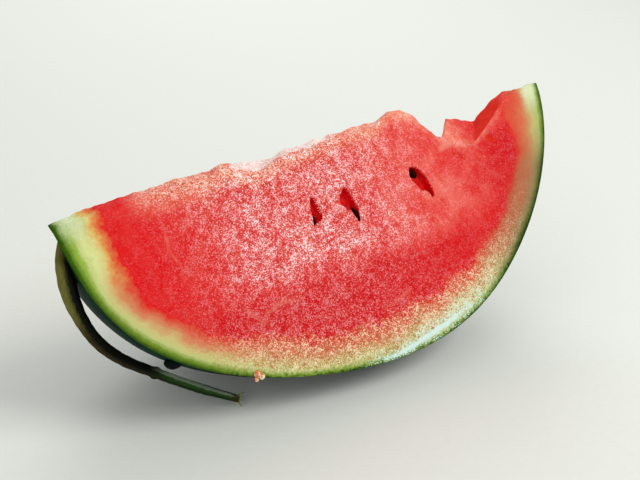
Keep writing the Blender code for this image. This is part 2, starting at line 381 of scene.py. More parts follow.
class MelonColours(PropertyGroup):
    """Colours of the melon, its stem and the table."""

    flesh: colour_property("Flesh", "Deep red flesh away from the rind", (226, 24, 28))
    # Light flesh: paler flesh in the middle of the face, partly a painted highlight where the wet cells
    # glitter.
    flesh_light: colour_property("Light flesh", "Lighter flesh in the middle of the face", (240, 110, 98))
    flesh_peach: colour_property("Peach flesh", "Flesh along the ridge", (248, 150, 118))
    flesh_orange: colour_property("Orange flesh", "Seams between the fibres", (226, 70, 36))
    # Shaded flesh: darker red, painted shade at the blossom end and low on the face.
    flesh_painted_shade: colour_property("Shaded flesh", "Duller flesh low and at the blossom end", (206, 24, 30))
    # Dark cells: dark cells of the flesh, deepened as painted shade between the painted glints.
    flesh_dark_and_shade: colour_property("Dark cells", "Dark, hollow cells of the flesh", (192, 10, 22))
    # Frost: pale, dry cells of the flesh, and the white of the painted glints on them.
    frost_and_painted_glint: colour_property("Frost", "Dry, glassy cells on the flesh", (255, 236, 240))
    # Cream: pale cells on the rind and the ridge, and the painted glints on them.
    cream_and_glint: colour_property("Cream", "Glassy cells on the rind and the ridge", (246, 228, 190))
    # Glare: painted highlight on the whitest wet edges.
    painted_glare: colour_property("Glare", "Whitest wet edges", (255, 248, 242))
    # Rim glare: painted, cool white highlight on the wet edge of the lower rind.
    painted_rim_glare: colour_property("Rim glare", "Wet, cool white edge of the lower rind", (216, 242, 234))
    # Vein: pale veins, and pale torn edges whose paleness is partly a painted highlight.
    vein: colour_property("Vein", "Pale veins and torn edges", (244, 166, 144))
    torn: colour_property("Torn flesh", "Wet flesh in the tears", (226, 46, 30))
    hollow: colour_property("Hollow", "Clear red walls of the seed hollows", (220, 0, 12))
    rind_green: colour_property("Green rind", "Rind just under the skin", (52, 80, 16))
    rind_lime: colour_property("Lime rind", "Rind between green and pale", (118, 148, 48))
    rind_pale: colour_property("Pale rind", "Palest part of the rind", (196, 202, 128))
    rind_yellow: colour_property("Yellow rind", "Rind towards the flesh", (208, 196, 128))
    rind_warm: colour_property("Warm rind", "Rind tinged by the flesh", (214, 158, 106))
    # White rind: whitest rind at the tips, and low down to the right, where it is partly a painted highlight.
    rind_white: colour_property("White rind", "Whitest rind, at the tips and low down", (224, 236, 192))
    rind_tan: colour_property("Tan rind", "Middle of the rind at the blossom end", (142, 126, 84))
    rind_edge: colour_property("Rind edge", "Where the rind turns to flesh", (220, 106, 76))
    tip_green: colour_property("Tip green", "Rind just under the skin at the stem end's tip", (56, 95, 4))
    tip_lime: colour_property("Tip lime", "Bright green rind at the stem end's tip", (149, 181, 69))
    tip_pale: colour_property("Tip pale", "Palest rind at the stem end's tip", (222, 228, 154))
    tip_warm: colour_property("Tip warm", "Rind towards the flesh at the stem end's tip", (230, 180, 100))
    tip_edge: colour_property("Tip edge", "Where that rind turns to flesh", (228, 108, 64))
    skin: colour_property("Skin", "Dark outer skin", (6, 30, 24))
    skin_stripe: colour_property("Skin stripe", "Faint lighter stripes of the skin", (14, 50, 36))
    seed: colour_property("Seed", "Seed coat", (34, 3, 4))
    # Dry stem: the stem's dry colour, as it looks on its painted lit side.
    stem_dry_and_lit: colour_property("Dry stem", "Weathered side of the stem", (108, 106, 48))
    stem_brown: colour_property("Brown stem", "Withered stretch of the stem", (50, 42, 16))
    stem_green: colour_property("Green stem", "Fresher stretch of the stem", (44, 78, 26))
    # Pale stem: painted light on the upper side near the stem's end.
    stem_lit_pale: colour_property("Pale stem", "Weathered upper side near the stem's end", (148, 164, 140))
    # Dark stem: painted shade on the side of the stem towards the melon.
    stem_painted_shade: colour_property("Dark stem", "Darkened side of the stem", (7, 9, 4))
    fibre: colour_property("Fibre", "Frayed end of the stem", (160, 162, 92))
    crumb: colour_property("Crumb", "Crumb of flesh on the rind", (212, 132, 84))
    table: colour_property("Table", "Pale surface that the wedge stands on", (226, 230, 222))


# ---- Shape of the melon ----


def swell(x, middle, half_width):
    """1 at the middle, falling smoothly to 0 at half_width to either side."""
    away = np.minimum(np.abs(x - middle) / half_width, 1.0)
    return 0.5 + 0.5 * np.cos(pi * away)


def smooth_step(value, low, high):
    """0 up to low, 1 from high, and a smooth climb between them."""
    share = np.clip((value - low) / (high - low), 0.0, 1.0)
    return share * share * (3.0 - 2.0 * share)


class Melon:
    """The melon's outline, its two cuts and its torn ridge, about its own axis."""

    def __init__(self, sizes):
        self.sizes = sizes
        self.slope = tan(sizes.half_angle)
        self.place = Matrix.Translation((-sizes.flat_spot_at, 0.0, sizes.lift))
        self.place = self.place @ Matrix.Rotation(-sizes.lean, 4, "Y")
        self.outline_x = -sizes.half_length * np.cos(np.linspace(0.0, pi, OUTLINE_POINTS))
        self.outline_r = self.radius(self.outline_x)
        steps = np.hypot(np.diff(self.outline_x), np.diff(self.outline_r))
        self.outline_run = np.concatenate(([0.0], np.cumsum(steps)))

    def radius(self, x):
        """An oval, blunt at the stem end and narrower at the blossom end."""
        sizes = self.sizes
        share = np.clip(x / sizes.half_length, -1.0, 1.0)
        oval = sizes.middle_radius * np.sqrt(1.0 - share * share)
        return oval * (1.0 + sizes.fuller_near_blossom * share - sizes.narrower_at_blossom * share**3)

    def ridge_line(self, place):
        """(height, climb towards the front, climb towards the back) of the torn top over the axis."""
        outward = np.minimum(np.abs(place) / self.sizes.half_length, 1.0)
        usual = RIDGE_FOOT + RIDGE_RISE * (1.0 - outward**8)
        usual = usual + sum(rise * swell(place, at, wide) for at, wide, rise in RIDGE_FEATURES)
        places, heights, climbs = np.array(TEAR_LINE).T
        share = smooth_step(place, places[0], places[0] + TEAR_BLEND)
        crest = usual + share * (np.interp(place, places, heights) - usual)
        return crest, share * np.interp(place, places, climbs), -share * TEAR_BACK_FALL

    def rim(self, place, side):
        """(y, z) where a cut face meets the torn top."""
        crest, front_climb, back_climb = self.ridge_line(place)
        climb = np.where(side < 0.0, front_climb, back_climb) * self.slope
        z = (crest + climb * self.sizes.apex_height) / (1.0 + climb)
        return side * (self.sizes.apex_height - z) * self.slope, z

    def slant(self, place):
        """How far along each line across the torn top runs, for each metre towards the back."""
        return TEAR_SLANT * np.clip((self.sizes.half_length - np.abs(place)) / TEAR_FADE, 0.0, 1.0)

    def slanted(self, place, points, foot):
        """The points of one side, moved along by the tear's slant, which fades out towards the skin."""
        fade = 1.0 - smooth_step(np.abs(points[:, 1] / foot[1]), 0.25, 0.90)
        points[:, 0] += self.slant(place) * points[:, 1] * fade
        return points

    def stations(self, count):
        """Places along the axis, evenly spaced along the outline, with the two poles at the ends."""
        start, end = slice(None, OUTLINE_END), slice(None, -OUTLINE_END - 1, -1)
        first = np.interp(END_RADIUS, self.outline_r[start], self.outline_run[start])
        last = np.interp(END_RADIUS, self.outline_r[end], self.outline_run[end])
        runs = np.linspace(first, last, count - 1)
        inner = np.interp(runs, self.outline_run, self.outline_x)
        return np.concatenate(([-self.sizes.half_length], inner, [self.sizes.half_length]))

    def section(self, place):
        """Every row of points round the wedge at a place, from the torn top's middle and back to it."""
        sizes = self.sizes
        radius = float(self.radius(place))
        rim_angle = sizes.half_angle + asin(sizes.apex_height * sin(sizes.half_angle) / radius)
        shares = np.linspace(0.0, 1.0, STRIP_ROWS + 1)[:, None]
        crest = np.array([place, 0.0, float(self.ridge_line(place)[0])])
        halves = {}
        for side, count in ((-1.0, FRONT_ROWS), (1.0, BACK_ROWS)):
            y, z = self.rim(place, side)
            corner = np.array([place, float(y), float(z)])
            foot = np.array([place, side * radius * sin(rim_angle), -radius * cos(rim_angle)])
            down = np.linspace(0.0, 1.0, count + 1)[1:, None]
            line = np.concatenate([crest + shares * (corner - crest), corner + down * (foot - corner)])
            halves[side] = self.slanted(place, line, foot)
        turns = np.linspace(-rim_angle, rim_angle, SKIN_ROWS + 1)[1:-1]
        across = (radius * np.sin(turns), -radius * np.cos(turns))
        skin = np.stack([np.full(len(turns), place), *across], axis=1)
        return np.concatenate([halves[-1.0], skin, halves[1.0][::-1]])

    def down_face(self, places):
        """How far down a cut face each place lies from the line where the cuts meet."""
        return (self.sizes.apex_height - places[:, 2]) / cos(self.sizes.half_angle)

    def under_skin(self, places):
        """(depth below the skin, place along the outline) of each point, by every third outline point."""
        out = np.hypot(places[:, 1], places[:, 2])
        outline_x, outline_r = self.outline_x[::3], self.outline_r[::3]
        depth = np.empty(len(places))
        nearest = np.empty(len(places))
        batch = 4000
        for start in range(0, len(places), batch):
            part = slice(start, start + batch)
            apart = np.hypot(places[part, 0, None] - outline_x, out[part, None] - outline_r)
            best = apart.argmin(axis=1)
            depth[part] = apart[np.arange(len(best)), best]
            nearest[part] = outline_x[best]
        return depth, nearest

    def rind_at(self, x):
        """How thick the rind is at a place along the outline."""
        return self.sizes.rind + sum(change * swell(x, at, wide) for at, wide, change in RIND_SWELLS)


def oval_distance(along, down, oval):
    """0 at the middle of a hollow, 1 on its outline, which is drawn to a point at both ends."""
    at, below, wide, high, _, turn = oval
    east, south = along - at, down - below
    across = (east * cos(turn) + south * sin(turn)) / wide
    lengthways = (south * cos(turn) - east * sin(turn)) / high
    total = np.abs(across) ** OVAL_FULLNESS + np.abs(lengthways) ** OVAL_FULLNESS
    return total ** (1.0 / OVAL_FULLNESS)


def noise_at(places, per_metre, seed):
    """Smooth noise from -1 to 1 at each place, with this many waves to the metre."""
    shift = Vector((seed * 7.31, seed * 3.17, seed * 5.73))
    return np.array([noise.noise(Vector(place) * per_metre + shift) for place in places])


def waves_at(places, waves):
    """The sum of several noises, each given as (height, waves to the metre, seed)."""
    return sum(height * noise_at(places, per_metre, seed) for height, per_metre, seed in waves)


def line_distance(along, down, points):
    """Distance of each place on a face from a line of points."""
    nearest = np.full(len(along), 1.0)
    for (x1, s1), (x2, s2) in zip(points, points[1:]):
        run = (x2 - x1, s2 - s1)
        share = ((along - x1) * run[0] + (down - s1) * run[1]) / (run[0] ** 2 + run[1] ** 2)
        share = np.clip(share, 0.0, 1.0)
        nearest = np.minimum(nearest, np.hypot(along - x1 - share * run[0], down - s1 - share * run[1]))
    return nearest


def outline_distance(along, down, points):
    """Distance of each place on a face from a closed outline, under 0 inside it."""
    loop = (*points, points[0])
    inside = np.zeros(len(along), bool)
    for (x1, s1), (x2, s2) in zip(loop, loop[1:]):
        crosses = (s1 > down) != (s2 > down)
        inside ^= crosses & (along < x1 + (down - s1) * (x2 - x1) / (s2 - s1))
    apart = line_distance(along, down, loop)
    return np.where(inside, -apart, apart)


def hollows_of(along, down, side):
    """(share, depth) for each hollow of a face, where the share is under 1 inside the hollow."""
    if side > 0.0:
        return [(oval_distance(along, down, oval), oval[4]) for oval in BACK_HOLLOWS]
    shares = [1.0 + outline_distance(along, down, points) / HOLLOW_BANK for points, _ in FRONT_HOLLOWS]
    return [(share, depth) for share, (_, depth) in zip(shares, FRONT_HOLLOWS)]


# ---- Mesh helpers ----


def finished(shape, name, materials):
    """Turns a bmesh into a smooth object at the origin, with its materials."""
    mesh = bpy.data.meshes.new(name)
    shape.to_mesh(mesh)
    shape.free()
    for material in materials:
        mesh.materials.append(material)
    mesh.shade_smooth()
    piece = bpy.data.objects.new(name, mesh)
    bpy.context.scene.collection.objects.link(piece)
    return piece


def point_values(mesh, name):
    values = np.empty(len(mesh.vertices), np.float32)
    mesh.attributes[name].data.foreach_get("value", values)
    return values.astype(float)


def store_values(mesh, name, values):
    layer = mesh.attributes.new(name, "FLOAT", "POINT")
    layer.data.foreach_set("value", np.ascontiguousarray(values, np.float32))


def places_of(mesh):
    places = np.empty(3 * len(mesh.vertices), np.float32)
    mesh.vertices.foreach_get("co", places)
    return places.reshape(-1, 3).astype(float)


def move_to(mesh, places):
    mesh.vertices.foreach_set("co", np.ascontiguousarray(places, np.float32).reshape(-1))
    mesh.update()


def corner_points(mesh):
    """The number of the point at each corner of each face."""
    corners = np.empty(len(mesh.loops), np.int32)
    mesh.loops.foreach_get("vertex_index", corners)
    return corners


# ---- The wedge ----


def wrapped_wedge(melon):
    """A grid wrapped round the wedge's section at each station, welded at its seam and its poles."""
    shape = bmesh.new()
    bmesh.ops.create_grid(shape, x_segments=STATIONS, y_segments=TOTAL_ROWS, size=1.0)
    row_layer = shape.verts.layers.float.new("row")
    stations = melon.stations(STATIONS)
    sections = [melon.section(x) for x in stations[1:-1]]
    for vertex in shape.verts:
        station = round((vertex.co.x + 1.0) / 2.0 * STATIONS)
        row = round((vertex.co.y + 1.0) / 2.0 * TOTAL_ROWS)
        vertex[row_layer] = row
        x = stations[station]
        if 0 < station < STATIONS:
            vertex.co = sections[station - 1][row]
        else:
            vertex.co = (x, 0.0, float(melon.ridge_line(x)[0]))
    bmesh.ops.remove_doubles(shape, verts=shape.verts, dist=WELD)
    bmesh.ops.recalc_face_normals(shape, faces=shape.faces)
    if shape.calc_volume(signed=True) < 0.0:
        bmesh.ops.reverse_faces(shape, faces=shape.faces)
    return shape, row_layer


def refine_hollows(shape, row_layer, melon):
    """Divides the faces in and around each seed hollow, so that its edge can be crisp."""
    places = np.array([vertex.co for vertex in shape.verts])
    rows = np.array([vertex[row_layer] for vertex in shape.verts])
    down = melon.down_face(places)
    wanted = np.zeros(len(places), bool)
    front, back, _, _, _ = zones_of(rows)
    for on_face, side in ((front, -1.0), (back, 1.0)):
        for share, _ in hollows_of(places[:, 0], down, side):
            wanted |= on_face & (share < REFINED_TO)
    shape.verts.index_update()
    edges = [edge for edge in shape.edges if all(wanted[vertex.index] for vertex in edge.verts)]
    bmesh.ops.subdivide_edges(shape, edges=edges, cuts=2, use_grid_fill=True)
    many_sided = [face for face in shape.faces if len(face.verts) > 4]
    bmesh.ops.triangulate(shape, faces=many_sided)


def zones_of(rows):
    """Masks of the front face, the back face, the skin and the torn strip, and each row's side."""
    front = (rows > STRIP_ROWS) & (rows < RIM_ROWS[0])
    back = (rows > RIM_ROWS[1]) & (rows < TOTAL_ROWS - STRIP_ROWS)
    skin = (rows >= RIM_ROWS[0]) & (rows <= RIM_ROWS[1])
    strip = ~(front | back | skin)
    side = np.where(rows < TOTAL_ROWS / 2, -1.0, 1.0)
    return front, back, skin, strip, side


def sunk_hollows(along, down, side, places):
    """(share, depth) over all of a face's hollows, with ragged outlines."""
    ragged = waves_at(places, HOLLOW_RAGGED)
    nearest = np.full(len(along), 9.0)
    depth = np.zeros(len(along))
    for share, deep in hollows_of(along, down, side):
        share = share + ragged
        nearest = np.minimum(nearest, share)
        bank = 1.0 - smooth_step(share, 0.62, 1.0)
        depth = np.maximum(depth, deep * bank * (1.0 - 0.25 * share.clip(0.0, 1.0)))
    return nearest, depth


def dent_shares(along, down, places):
    """(share, dent, redness) for each shallow dent of the front face, with ragged outlines."""
    ragged = waves_at(places, DENT_RAGGED)
    return [(oval_distance(along, down, dent) + ragged, dent, redness) for dent, redness in FRONT_DENTS]


def face_relief(melon, places, rows, rind_share):
    """How far each point of the cut faces stands out, and how near it is to a hollow."""
    front, back, _, _, _ = zones_of(rows)
    grain = melon.sizes.grain
    along, down = places[:, 0], melon.down_face(places)
    fleshy = smooth_step(rind_share, 0.5, 1.2)
    relief = waves_at(places, FACE_WAVES)
    relief += (0.4 + 0.6 * fleshy) * grain * 1.2 * noise_at(places, 210.0, 2)
    relief += (0.5 + 0.5 * fleshy) * grain * 1.1 * noise_at(places, 520.0, 3)
    nearest = np.full(len(places), 9.0)
    for mask, side in ((front, -1.0), (back, 1.0)):
        share, depth = sunk_hollows(along[mask], down[mask], side, places[mask])
        nearest[mask] = share
        relief[mask] -= depth
    relief[front] -= flake_step(along[front], down[front], places[front])
    for share, dent, _ in dent_shares(along[front], down[front], places[front]):
        relief[front] -= dent[4] * (1.0 - smooth_step(share, 0.25, 1.0))
    for lines, height, reach in ((VEINS, VEIN_RISE, 1.6), (SEAMS, -SEAM_DROP, 1.8)):
        for points, half_width, strength in lines:
            apart = line_distance(along[front], down[front], points)
            relief[front] += height * strength * (1.0 - smooth_step(apart, 0.0, reach * half_width))
    return relief, nearest


def flake_step(along, down, places):
    """How far the face steps in past the broken flake's edge, before it comes back out."""
    (x1, s1), (x2, s2) = FLAKE_EDGE
    run = Vector((x2 - x1, s2 - s1))
    length = run.length
    run.normalize()
    forward = (along - x1) * run.x + (down - s1) * run.y
    right = (along - x1) * run.y - (down - s1) * run.x + 0.0006 * noise_at(places, 350.0, 21)
    started = smooth_step(forward, -0.004, 0.004)
    ended = smooth_step(forward, length - 0.004, length + 0.006)
    ends = started * (1.0 - ended)
    return FLAKE_STEP * ends * smooth_step(right, -0.0002, 0.0006) * np.exp(-right.clip(0.0) / FLAKE_FADE)


def turn_ends(melon, places):
    """Moves that turn the stem end's front cut back to a point, and grow and trim the blossom end."""
    x, y, z = places.T
    reach = np.maximum((melon.sizes.apex_height - z) * melon.slope, 1e-4)
    forward = ((reach - y) / (2.0 * reach)).clip(0.0, 1.0)
    ahead = ((STEM_END_FROM - x) / (melon.sizes.half_length + STEM_END_FROM)).clip(0.0, 1.0)
    upper = (1.0 - (-z - 0.0015) / STEM_END_DROP).clip(0.0, 1.0) ** 2
    lower = smooth_step(-z, 0.0010, 0.0045) * (1.0 - smooth_step(-z, 0.0150, 0.0280))
    far_rim = smooth_step(x, 0.0960, 0.1060) * smooth_step(y, 0.0, 0.0040)
    far_rim *= 1.0 - smooth_step(-z, 0.0020, 0.0090)
    moves = np.zeros_like(places)
    moves[:, 2] = -FAR_RIM_DROP * far_rim
    moves[:, 0] = STEM_END_FALL * (1.0 - forward) * smooth_step(ahead, 0.2, 0.9) * lower
    moves[:, 0] += BLOSSOM_END_GROWTH * smooth_step(x, 0.070, 0.100)
    moves[:, 1] = STEM_END_TURN * forward * ahead * upper
    return moves


def shape_wedge(piece, melon):
    """Pushes the wrapped grid into its relief, and stores what the materials need at each point."""
    mesh = piece.data
    rows = point_values(mesh, "row")
    places = places_of(mesh)
    front, back, skin, strip, side = zones_of(rows)
    depth, nearest_x = melon.under_skin(places)
    rind_share = depth / melon.rind_at(nearest_x)
    along, down = places[:, 0], melon.down_face(places)
    below_rim = down - down_of_corner(melon, along, side)
    room = np.clip((melon.radius(along) - END_RADIUS) / POLE_FADE, 0.0, 1.0)
    moved = places.copy()

    relief, hollow = face_relief(melon, places, rows, rind_share)
    faces = front | back
    angle = melon.sizes.half_angle
    fade = np.clip(depth / EDGE_FADE, 0.0, 1.0) * room
    moved[faces, 1] += (side * cos(angle) * relief * fade)[faces]
    moved[faces, 2] += (sin(angle) * relief * fade)[faces]

    corner_share = 1.0 - smooth_step(below_rim, 0.0, 0.0022)
    upper = strip | (faces & (corner_share > 0.0))
    push = np.where(strip, 1.0, corner_share) * waves_at(places, TORN_WAVES) * room
    moved[upper, 2] += push[upper]

    ripple = waves_at(places, SKIN_WAVES)
    outward = places[:, 1:] / np.maximum(np.hypot(places[:, 1], places[:, 2]), 1e-6)[:, None]
    inner = skin & (rows > RIM_ROWS[0]) & (rows < RIM_ROWS[1])
    moved[inner, 1:] += (outward * (ripple * room)[:, None])[inner]

    moved += turn_ends(melon, places)
    world = moved @ np.array(melon.place.to_3x3()).T + np.array(melon.place.translation)
    world[:, 2] = world[:, 2].clip(0.0)
    move_to(mesh, world)

    ridge = ridge_share(along, below_rim)
    ragged = noise_at(places[front], 300.0, 18)
    nearer_rim = np.where(rows <= STRIP_ROWS, smooth_step(rows / STRIP_ROWS, 0.0, 0.9), 0.0)
    for name, values in (
        ("rind_share", rind_share),
        ("along", along),
        ("frost_and_painted_glint", frost_and_glint_at(along, down, ridge)),
        ("painted_sparkle", painted_sparkle_at(along, down, depth, ridge)),
        ("peach", np.where(skin, 0.0, ridge)),
        ("painted_shading", painted_shade_at(along, down)),
        ("tip", (along < 0.0) * (1.0 - smooth_step(down, 0.022, 0.044))),
        ("dull", smooth_step(along, 0.046, 0.080) * (0.12 + 0.88 * smooth_step(down, 0.022, 0.046))),
        ("torn", torn_at(places, down, front, strip)),
        ("vein", line_strength(VEINS, along, down, front, ragged)),
        ("seam", line_strength(SEAMS, along, down, front, ragged)),
        ("whitened_and_sheen", whitened_and_sheen_at(along, down)),
        ("painted_glare", painted_glare_at(along, down, depth, below_rim, front, strip, nearer_rim)),
    ):
        store_values(mesh, name, values)
    return rows, hollow


def down_of_corner(melon, along, side):
    """How far down a cut face its upper rim lies."""
    reach = melon.sizes.apex_height - melon.rim(along, side)[1]
    nearer = along - melon.slant(along) * side * reach * melon.slope
    reach = melon.sizes.apex_height - melon.rim(nearer, side)[1]
    return reach / cos(melon.sizes.half_angle)


def ridge_share(along, below_rim):
    """1 along the ridge from the stem end to the tear, fading down the faces."""
    across = smooth_step(along, -0.090, -0.070) * (1.0 - smooth_step(along, 0.040, 0.064))
    reach = 0.0110 - 0.0038 * smooth_step(along, -0.060, -0.030)
    block = 0.60 * swell(along, 0.0610, 0.0170) * (1.0 - smooth_step(below_rim, 0.0006, 0.0046))
    blossom = 0.30 * swell(along, 0.0960, 0.0160) * (1.0 - smooth_step(below_rim, 0.0030, 0.0120))
    return np.maximum(across * (1.0 - smooth_step(below_rim, 0.0005, reach)), np.maximum(block, blossom))


def frost_and_glint_at(along, down, ridge):
    """How pale the flesh is and how strong its painted glints are: most in the middle of each face and along
    the ridge.
    """
    field = 0.80 * smooth_step(along, -0.078, -0.038) * (1.0 - smooth_step(along, 0.044, 0.088))
    field *= 1.0 - smooth_step(down, *FROST_AND_GLINT_FADE)
    for at, below, wide, high, change in FROST_AND_GLINT_PATCHES:
        field += change * np.exp(-(((along - at) / wide) ** 2) - ((down - below) / high) ** 2)
    return np.maximum(field, 0.80 * ridge).clip(0.0, 1.0)


def painted_sparkle_at(along, down, depth, ridge):
    """How strongly the painted glints and the dark specks of the single cells stand out, in the middle of the
    flesh and along the lower rind.
    """
    upper = 1.0 - smooth_step(down, *FROST_AND_GLINT_FADE)
    lower = 1.0 - smooth_step(depth, 0.010, 0.024)
    fade_from = -0.012 + 0.050 * lower
    across = smooth_step(along, -0.094, -0.034)
    across = across * (1.0 - 0.90 * smooth_step(along - fade_from, 0.0, 0.066))
    across = np.maximum(across, 0.95 * ridge * (along < 0.0))
    return across * (0.75 + 0.25 * np.maximum(upper, lower))


def painted_shade_at(along, down):
    """How much painted shade darkens the red, towards the blossom end and low on the face."""
    blossom = 0.95 * smooth_step(along, 0.046, 0.096) * (0.30 + 0.70 * smooth_step(down, 0.012, 0.034))
    return np.maximum(blossom, 0.60 * smooth_step(down, 0.048, 0.066))


def torn_at(places, down, front, strip):
    """1 where the flesh is torn and wet: the slope at the far side of the tear, and the dents."""
    line = places[:, 0] - TEAR_SLANT * places[:, 1]
    slope = smooth_step(line, 0.0815, 0.0845) * (1.0 - smooth_step(line, 0.0940, 0.1010))
    torn = np.where(strip, slope, 0.0)
    for share, _, redness in dent_shares(places[front, 0], down[front], places[front]):
        torn[front] = np.maximum(torn[front], redness * (1.0 - smooth_step(share, 0.45, 1.05)))
    return torn


def whitened_and_sheen_at(along, down):
    """Where the rind is whitest: at both tips, and to the right of the lowest point, where the whitening is
    partly a painted highlight.
    """
    right = smooth_step(along, 0.094, 0.106) * (1.0 - smooth_step(down, 0.009, 0.022))
    left = (1.0 - smooth_step(along, -0.103, -0.094)) * (1.0 - smooth_step(down, 0.007, 0.018))
    return np.maximum(np.maximum(right, left), 0.80 * swell(along, 0.038, 0.034))


def painted_glare_at(along, down, depth, below_rim, front, strip, nearer_rim):
    """Painted glare that whitens the wet edges: a band inside the lower rim, and the far side of the torn
    ridge.
    """
    middle = 0.0017 + 0.0025 * smooth_step(along, 0.002, 0.024)
    strength = smooth_step(along, -0.018, 0.002) * (1.0 - smooth_step(along, 0.030, 0.064))
    lower = 0.80 * strength * np.exp(-(((depth - middle) / 0.0018) ** 2))
    lower += 0.28 * swell(along, 0.024, 0.056) * (1.0 - smooth_step(depth, 0.0040, 0.0140))
    ridge = smooth_step(along, -0.0420, -0.0395) * (1.0 - smooth_step(along, 0.0040, 0.0150))
    ridge = ridge + 0.7 * swell(along, 0.0300, 0.0030)
    smear = 1.0 - smooth_step(line_distance(along, down, PAINTED_GLARE_SMEAR), 0.0004, 0.0024)
    near_rim = 0.80 * ridge * (1.0 - smooth_step(below_rim, 0.0002, 0.0022))
    face = lower + np.maximum(near_rim, 0.8 * smear)
    top = ridge * (0.87 - 0.42 * nearer_rim)
    return np.where(strip, top, np.where(front, face, 0.0)).clip(0.0, 1.1)


def line_strength(lines, along, down, front, ragged):
    """How near each point of the front face is to one of the lines, times the line's strength."""
    share = np.zeros(len(along))
    for points, half_width, strength in lines:
        apart = line_distance(along[front], down[front], points) + 1.3 * half_width * ragged
        close = 1.0 - smooth_step(apart, 0.2 * half_width, 1.6 * half_width)
        share[front] = np.maximum(share[front], strength * close)
    return share


def paint_faces(mesh, rows, hollow):
    """Material 0 on the cuts and the torn strip, 1 on the skin, 2 inside the seed hollows."""
    corners = corner_points(mesh)
    starts = np.empty(len(mesh.polygons), np.int32)
    mesh.polygons.foreach_get("loop_start", starts)
    low = np.minimum.reduceat(rows[corners], starts)
    high = np.maximum.reduceat(rows[corners], starts)
    inside = np.maximum.reduceat(hollow[corners], starts) < 1.0
    index = np.where((low >= RIM_ROWS[0]) & (high <= RIM_ROWS[1]), 1, np.where(inside, 2, 0))
    mesh.polygons.foreach_set("material_index", index.astype(np.int32))
    mesh.update()


def mark_rim_sharp(shape):
    """Keeps the knife's edge between the skin and the cuts crisp."""
    for edge in shape.edges:
        if len({face.material_index == 1 for face in edge.link_faces}) == 2:
            edge.smooth = False


def fibre_map(mesh, melon, places):
    """A UV map whose V runs along the fibres, which fan out from over the ridge, and U across them."""
    along, down = places[:, 0], melon.down_face(places)
    east, south = along - FAN_ORIGIN[0], down - FAN_ORIGIN[1]
    reach = np.hypot(east, south)
    fan = np.stack([np.arctan2(east, south) * FAN_REACH, reach], axis=1)
    layer = mesh.uv_layers.new(name="fibres")
    layer.data.foreach_set("uv", fan[corner_points(mesh)].astype(np.float32).reshape(-1))


# ---- Materials ----


def feed(tree, socket, value):
    """Links a value from another node to a socket, or sets the socket to a plain value."""
    if isinstance(value, bpy.types.NodeSocket):
        tree.links.new(value, socket)
    else:
        socket.default_value = value


def put(tree, kind, inputs=None, **settings):
    """Adds a node, sets it up, and gives each input a value or a link."""
    made = tree.nodes.new(kind)
    for name, value in settings.items():
        setattr(made, name, value)
    for key, value in (inputs or {}).items():
        feed(tree, made.inputs[key], value)
    return made


def shown(colour):
    """A plain colour with its alpha, or the socket as it is."""
    return colour if isinstance(colour, bpy.types.NodeSocket) else (*colour, 1.0)


def mix(tree, share, first, second):
    inputs = {MIX_SHARE: share, MIX_FIRST: shown(first), MIX_SECOND: shown(second)}
    return put(tree, "ShaderNodeMix", inputs, data_type="RGBA").outputs[MIX_RESULT]


def mix_of(first, second, share):
    """Two plain colours mixed here, not by a node."""
    return tuple(a + share * (b - a) for a, b in zip(first, second))


def remap(tree, value, low, high, to_low=0.0, to_high=1.0):
    inputs = {"Value": value, "From Min": low, "From Max": high, "To Min": to_low, "To Max": to_high}
    return put(tree, "ShaderNodeMapRange", inputs, interpolation_type="SMOOTHSTEP").outputs["Result"]


def calculate(tree, operation, first, second):
    return put(tree, "ShaderNodeMath", {0: first, 1: second}, operation=operation).outputs[0]


def multiply(tree, first, second):
    return calculate(tree, "MULTIPLY", first, second)


def add(tree, first, second):
    return calculate(tree, "ADD", first, second)


def attribute(tree, name):
    """A value stored at each point of the mesh."""
    return put(tree, "ShaderNodeAttribute", attribute_name=name).outputs["Fac"]


def ramp(tree, value, stops):
    """A colour ramp through (place, colour) stops."""
    made = put(tree, "ShaderNodeValToRGB", {"Fac": value})
    band = made.color_ramp
    band.interpolation = "EASE"
    while len(band.elements) < len(stops):
        band.elements.new(1.0)
    for element, (place, colour) in zip(band.elements, stops):
        element.position = place
        element.color = (*colour, 1.0)
    return made.outputs["Color"]


def noise_node(tree, vector, scale, detail=2.0, roughness=0.5):
    inputs = {"Vector": vector, "Scale": scale, "Detail": detail, "Roughness": roughness}
    return put(tree, "ShaderNodeTexNoise", inputs).outputs["Fac"]


def stretched_noise(tree, vector, stretch, scale, detail, roughness):
    mapped = put(tree, "ShaderNodeMapping", {"Vector": vector, "Scale": stretch}).outputs["Vector"]
    return noise_node(tree, mapped, scale, detail, roughness)


def new_material(name):
    """A material with its node tree, its shader and the coordinates of its piece."""
    made = bpy.data.materials.new(name)
    made.use_nodes = True
    tree = made.node_tree
    vector = put(tree, "ShaderNodeTexCoord").outputs["Object"]
    return made, tree, tree.nodes["Principled BSDF"], vector


def set_shader(tree, shader, values):
    for name, value in values.items():
        feed(tree, shader.inputs[name], value)


def bump_of(tree, height, strength, distance):
    inputs = {"Height": height, "Strength": strength, "Distance": distance}
    return put(tree, "ShaderNodeBump", inputs).outputs["Normal"]


def new_group(name, inputs, outputs):
    group = bpy.data.node_groups.new(name, "ShaderNodeTree")
    for label, kind, default in inputs:
        socket = group.interface.new_socket(name=label, in_out="INPUT", socket_type=kind)
        if default is not None:
            socket.default_value = default
    for label, kind in outputs:
        group.interface.new_socket(name=label, in_out="OUTPUT", socket_type=kind)
    start = group.nodes.new("NodeGroupInput")
    end = group.nodes.new("NodeGroupOutput")
    return group, start, end


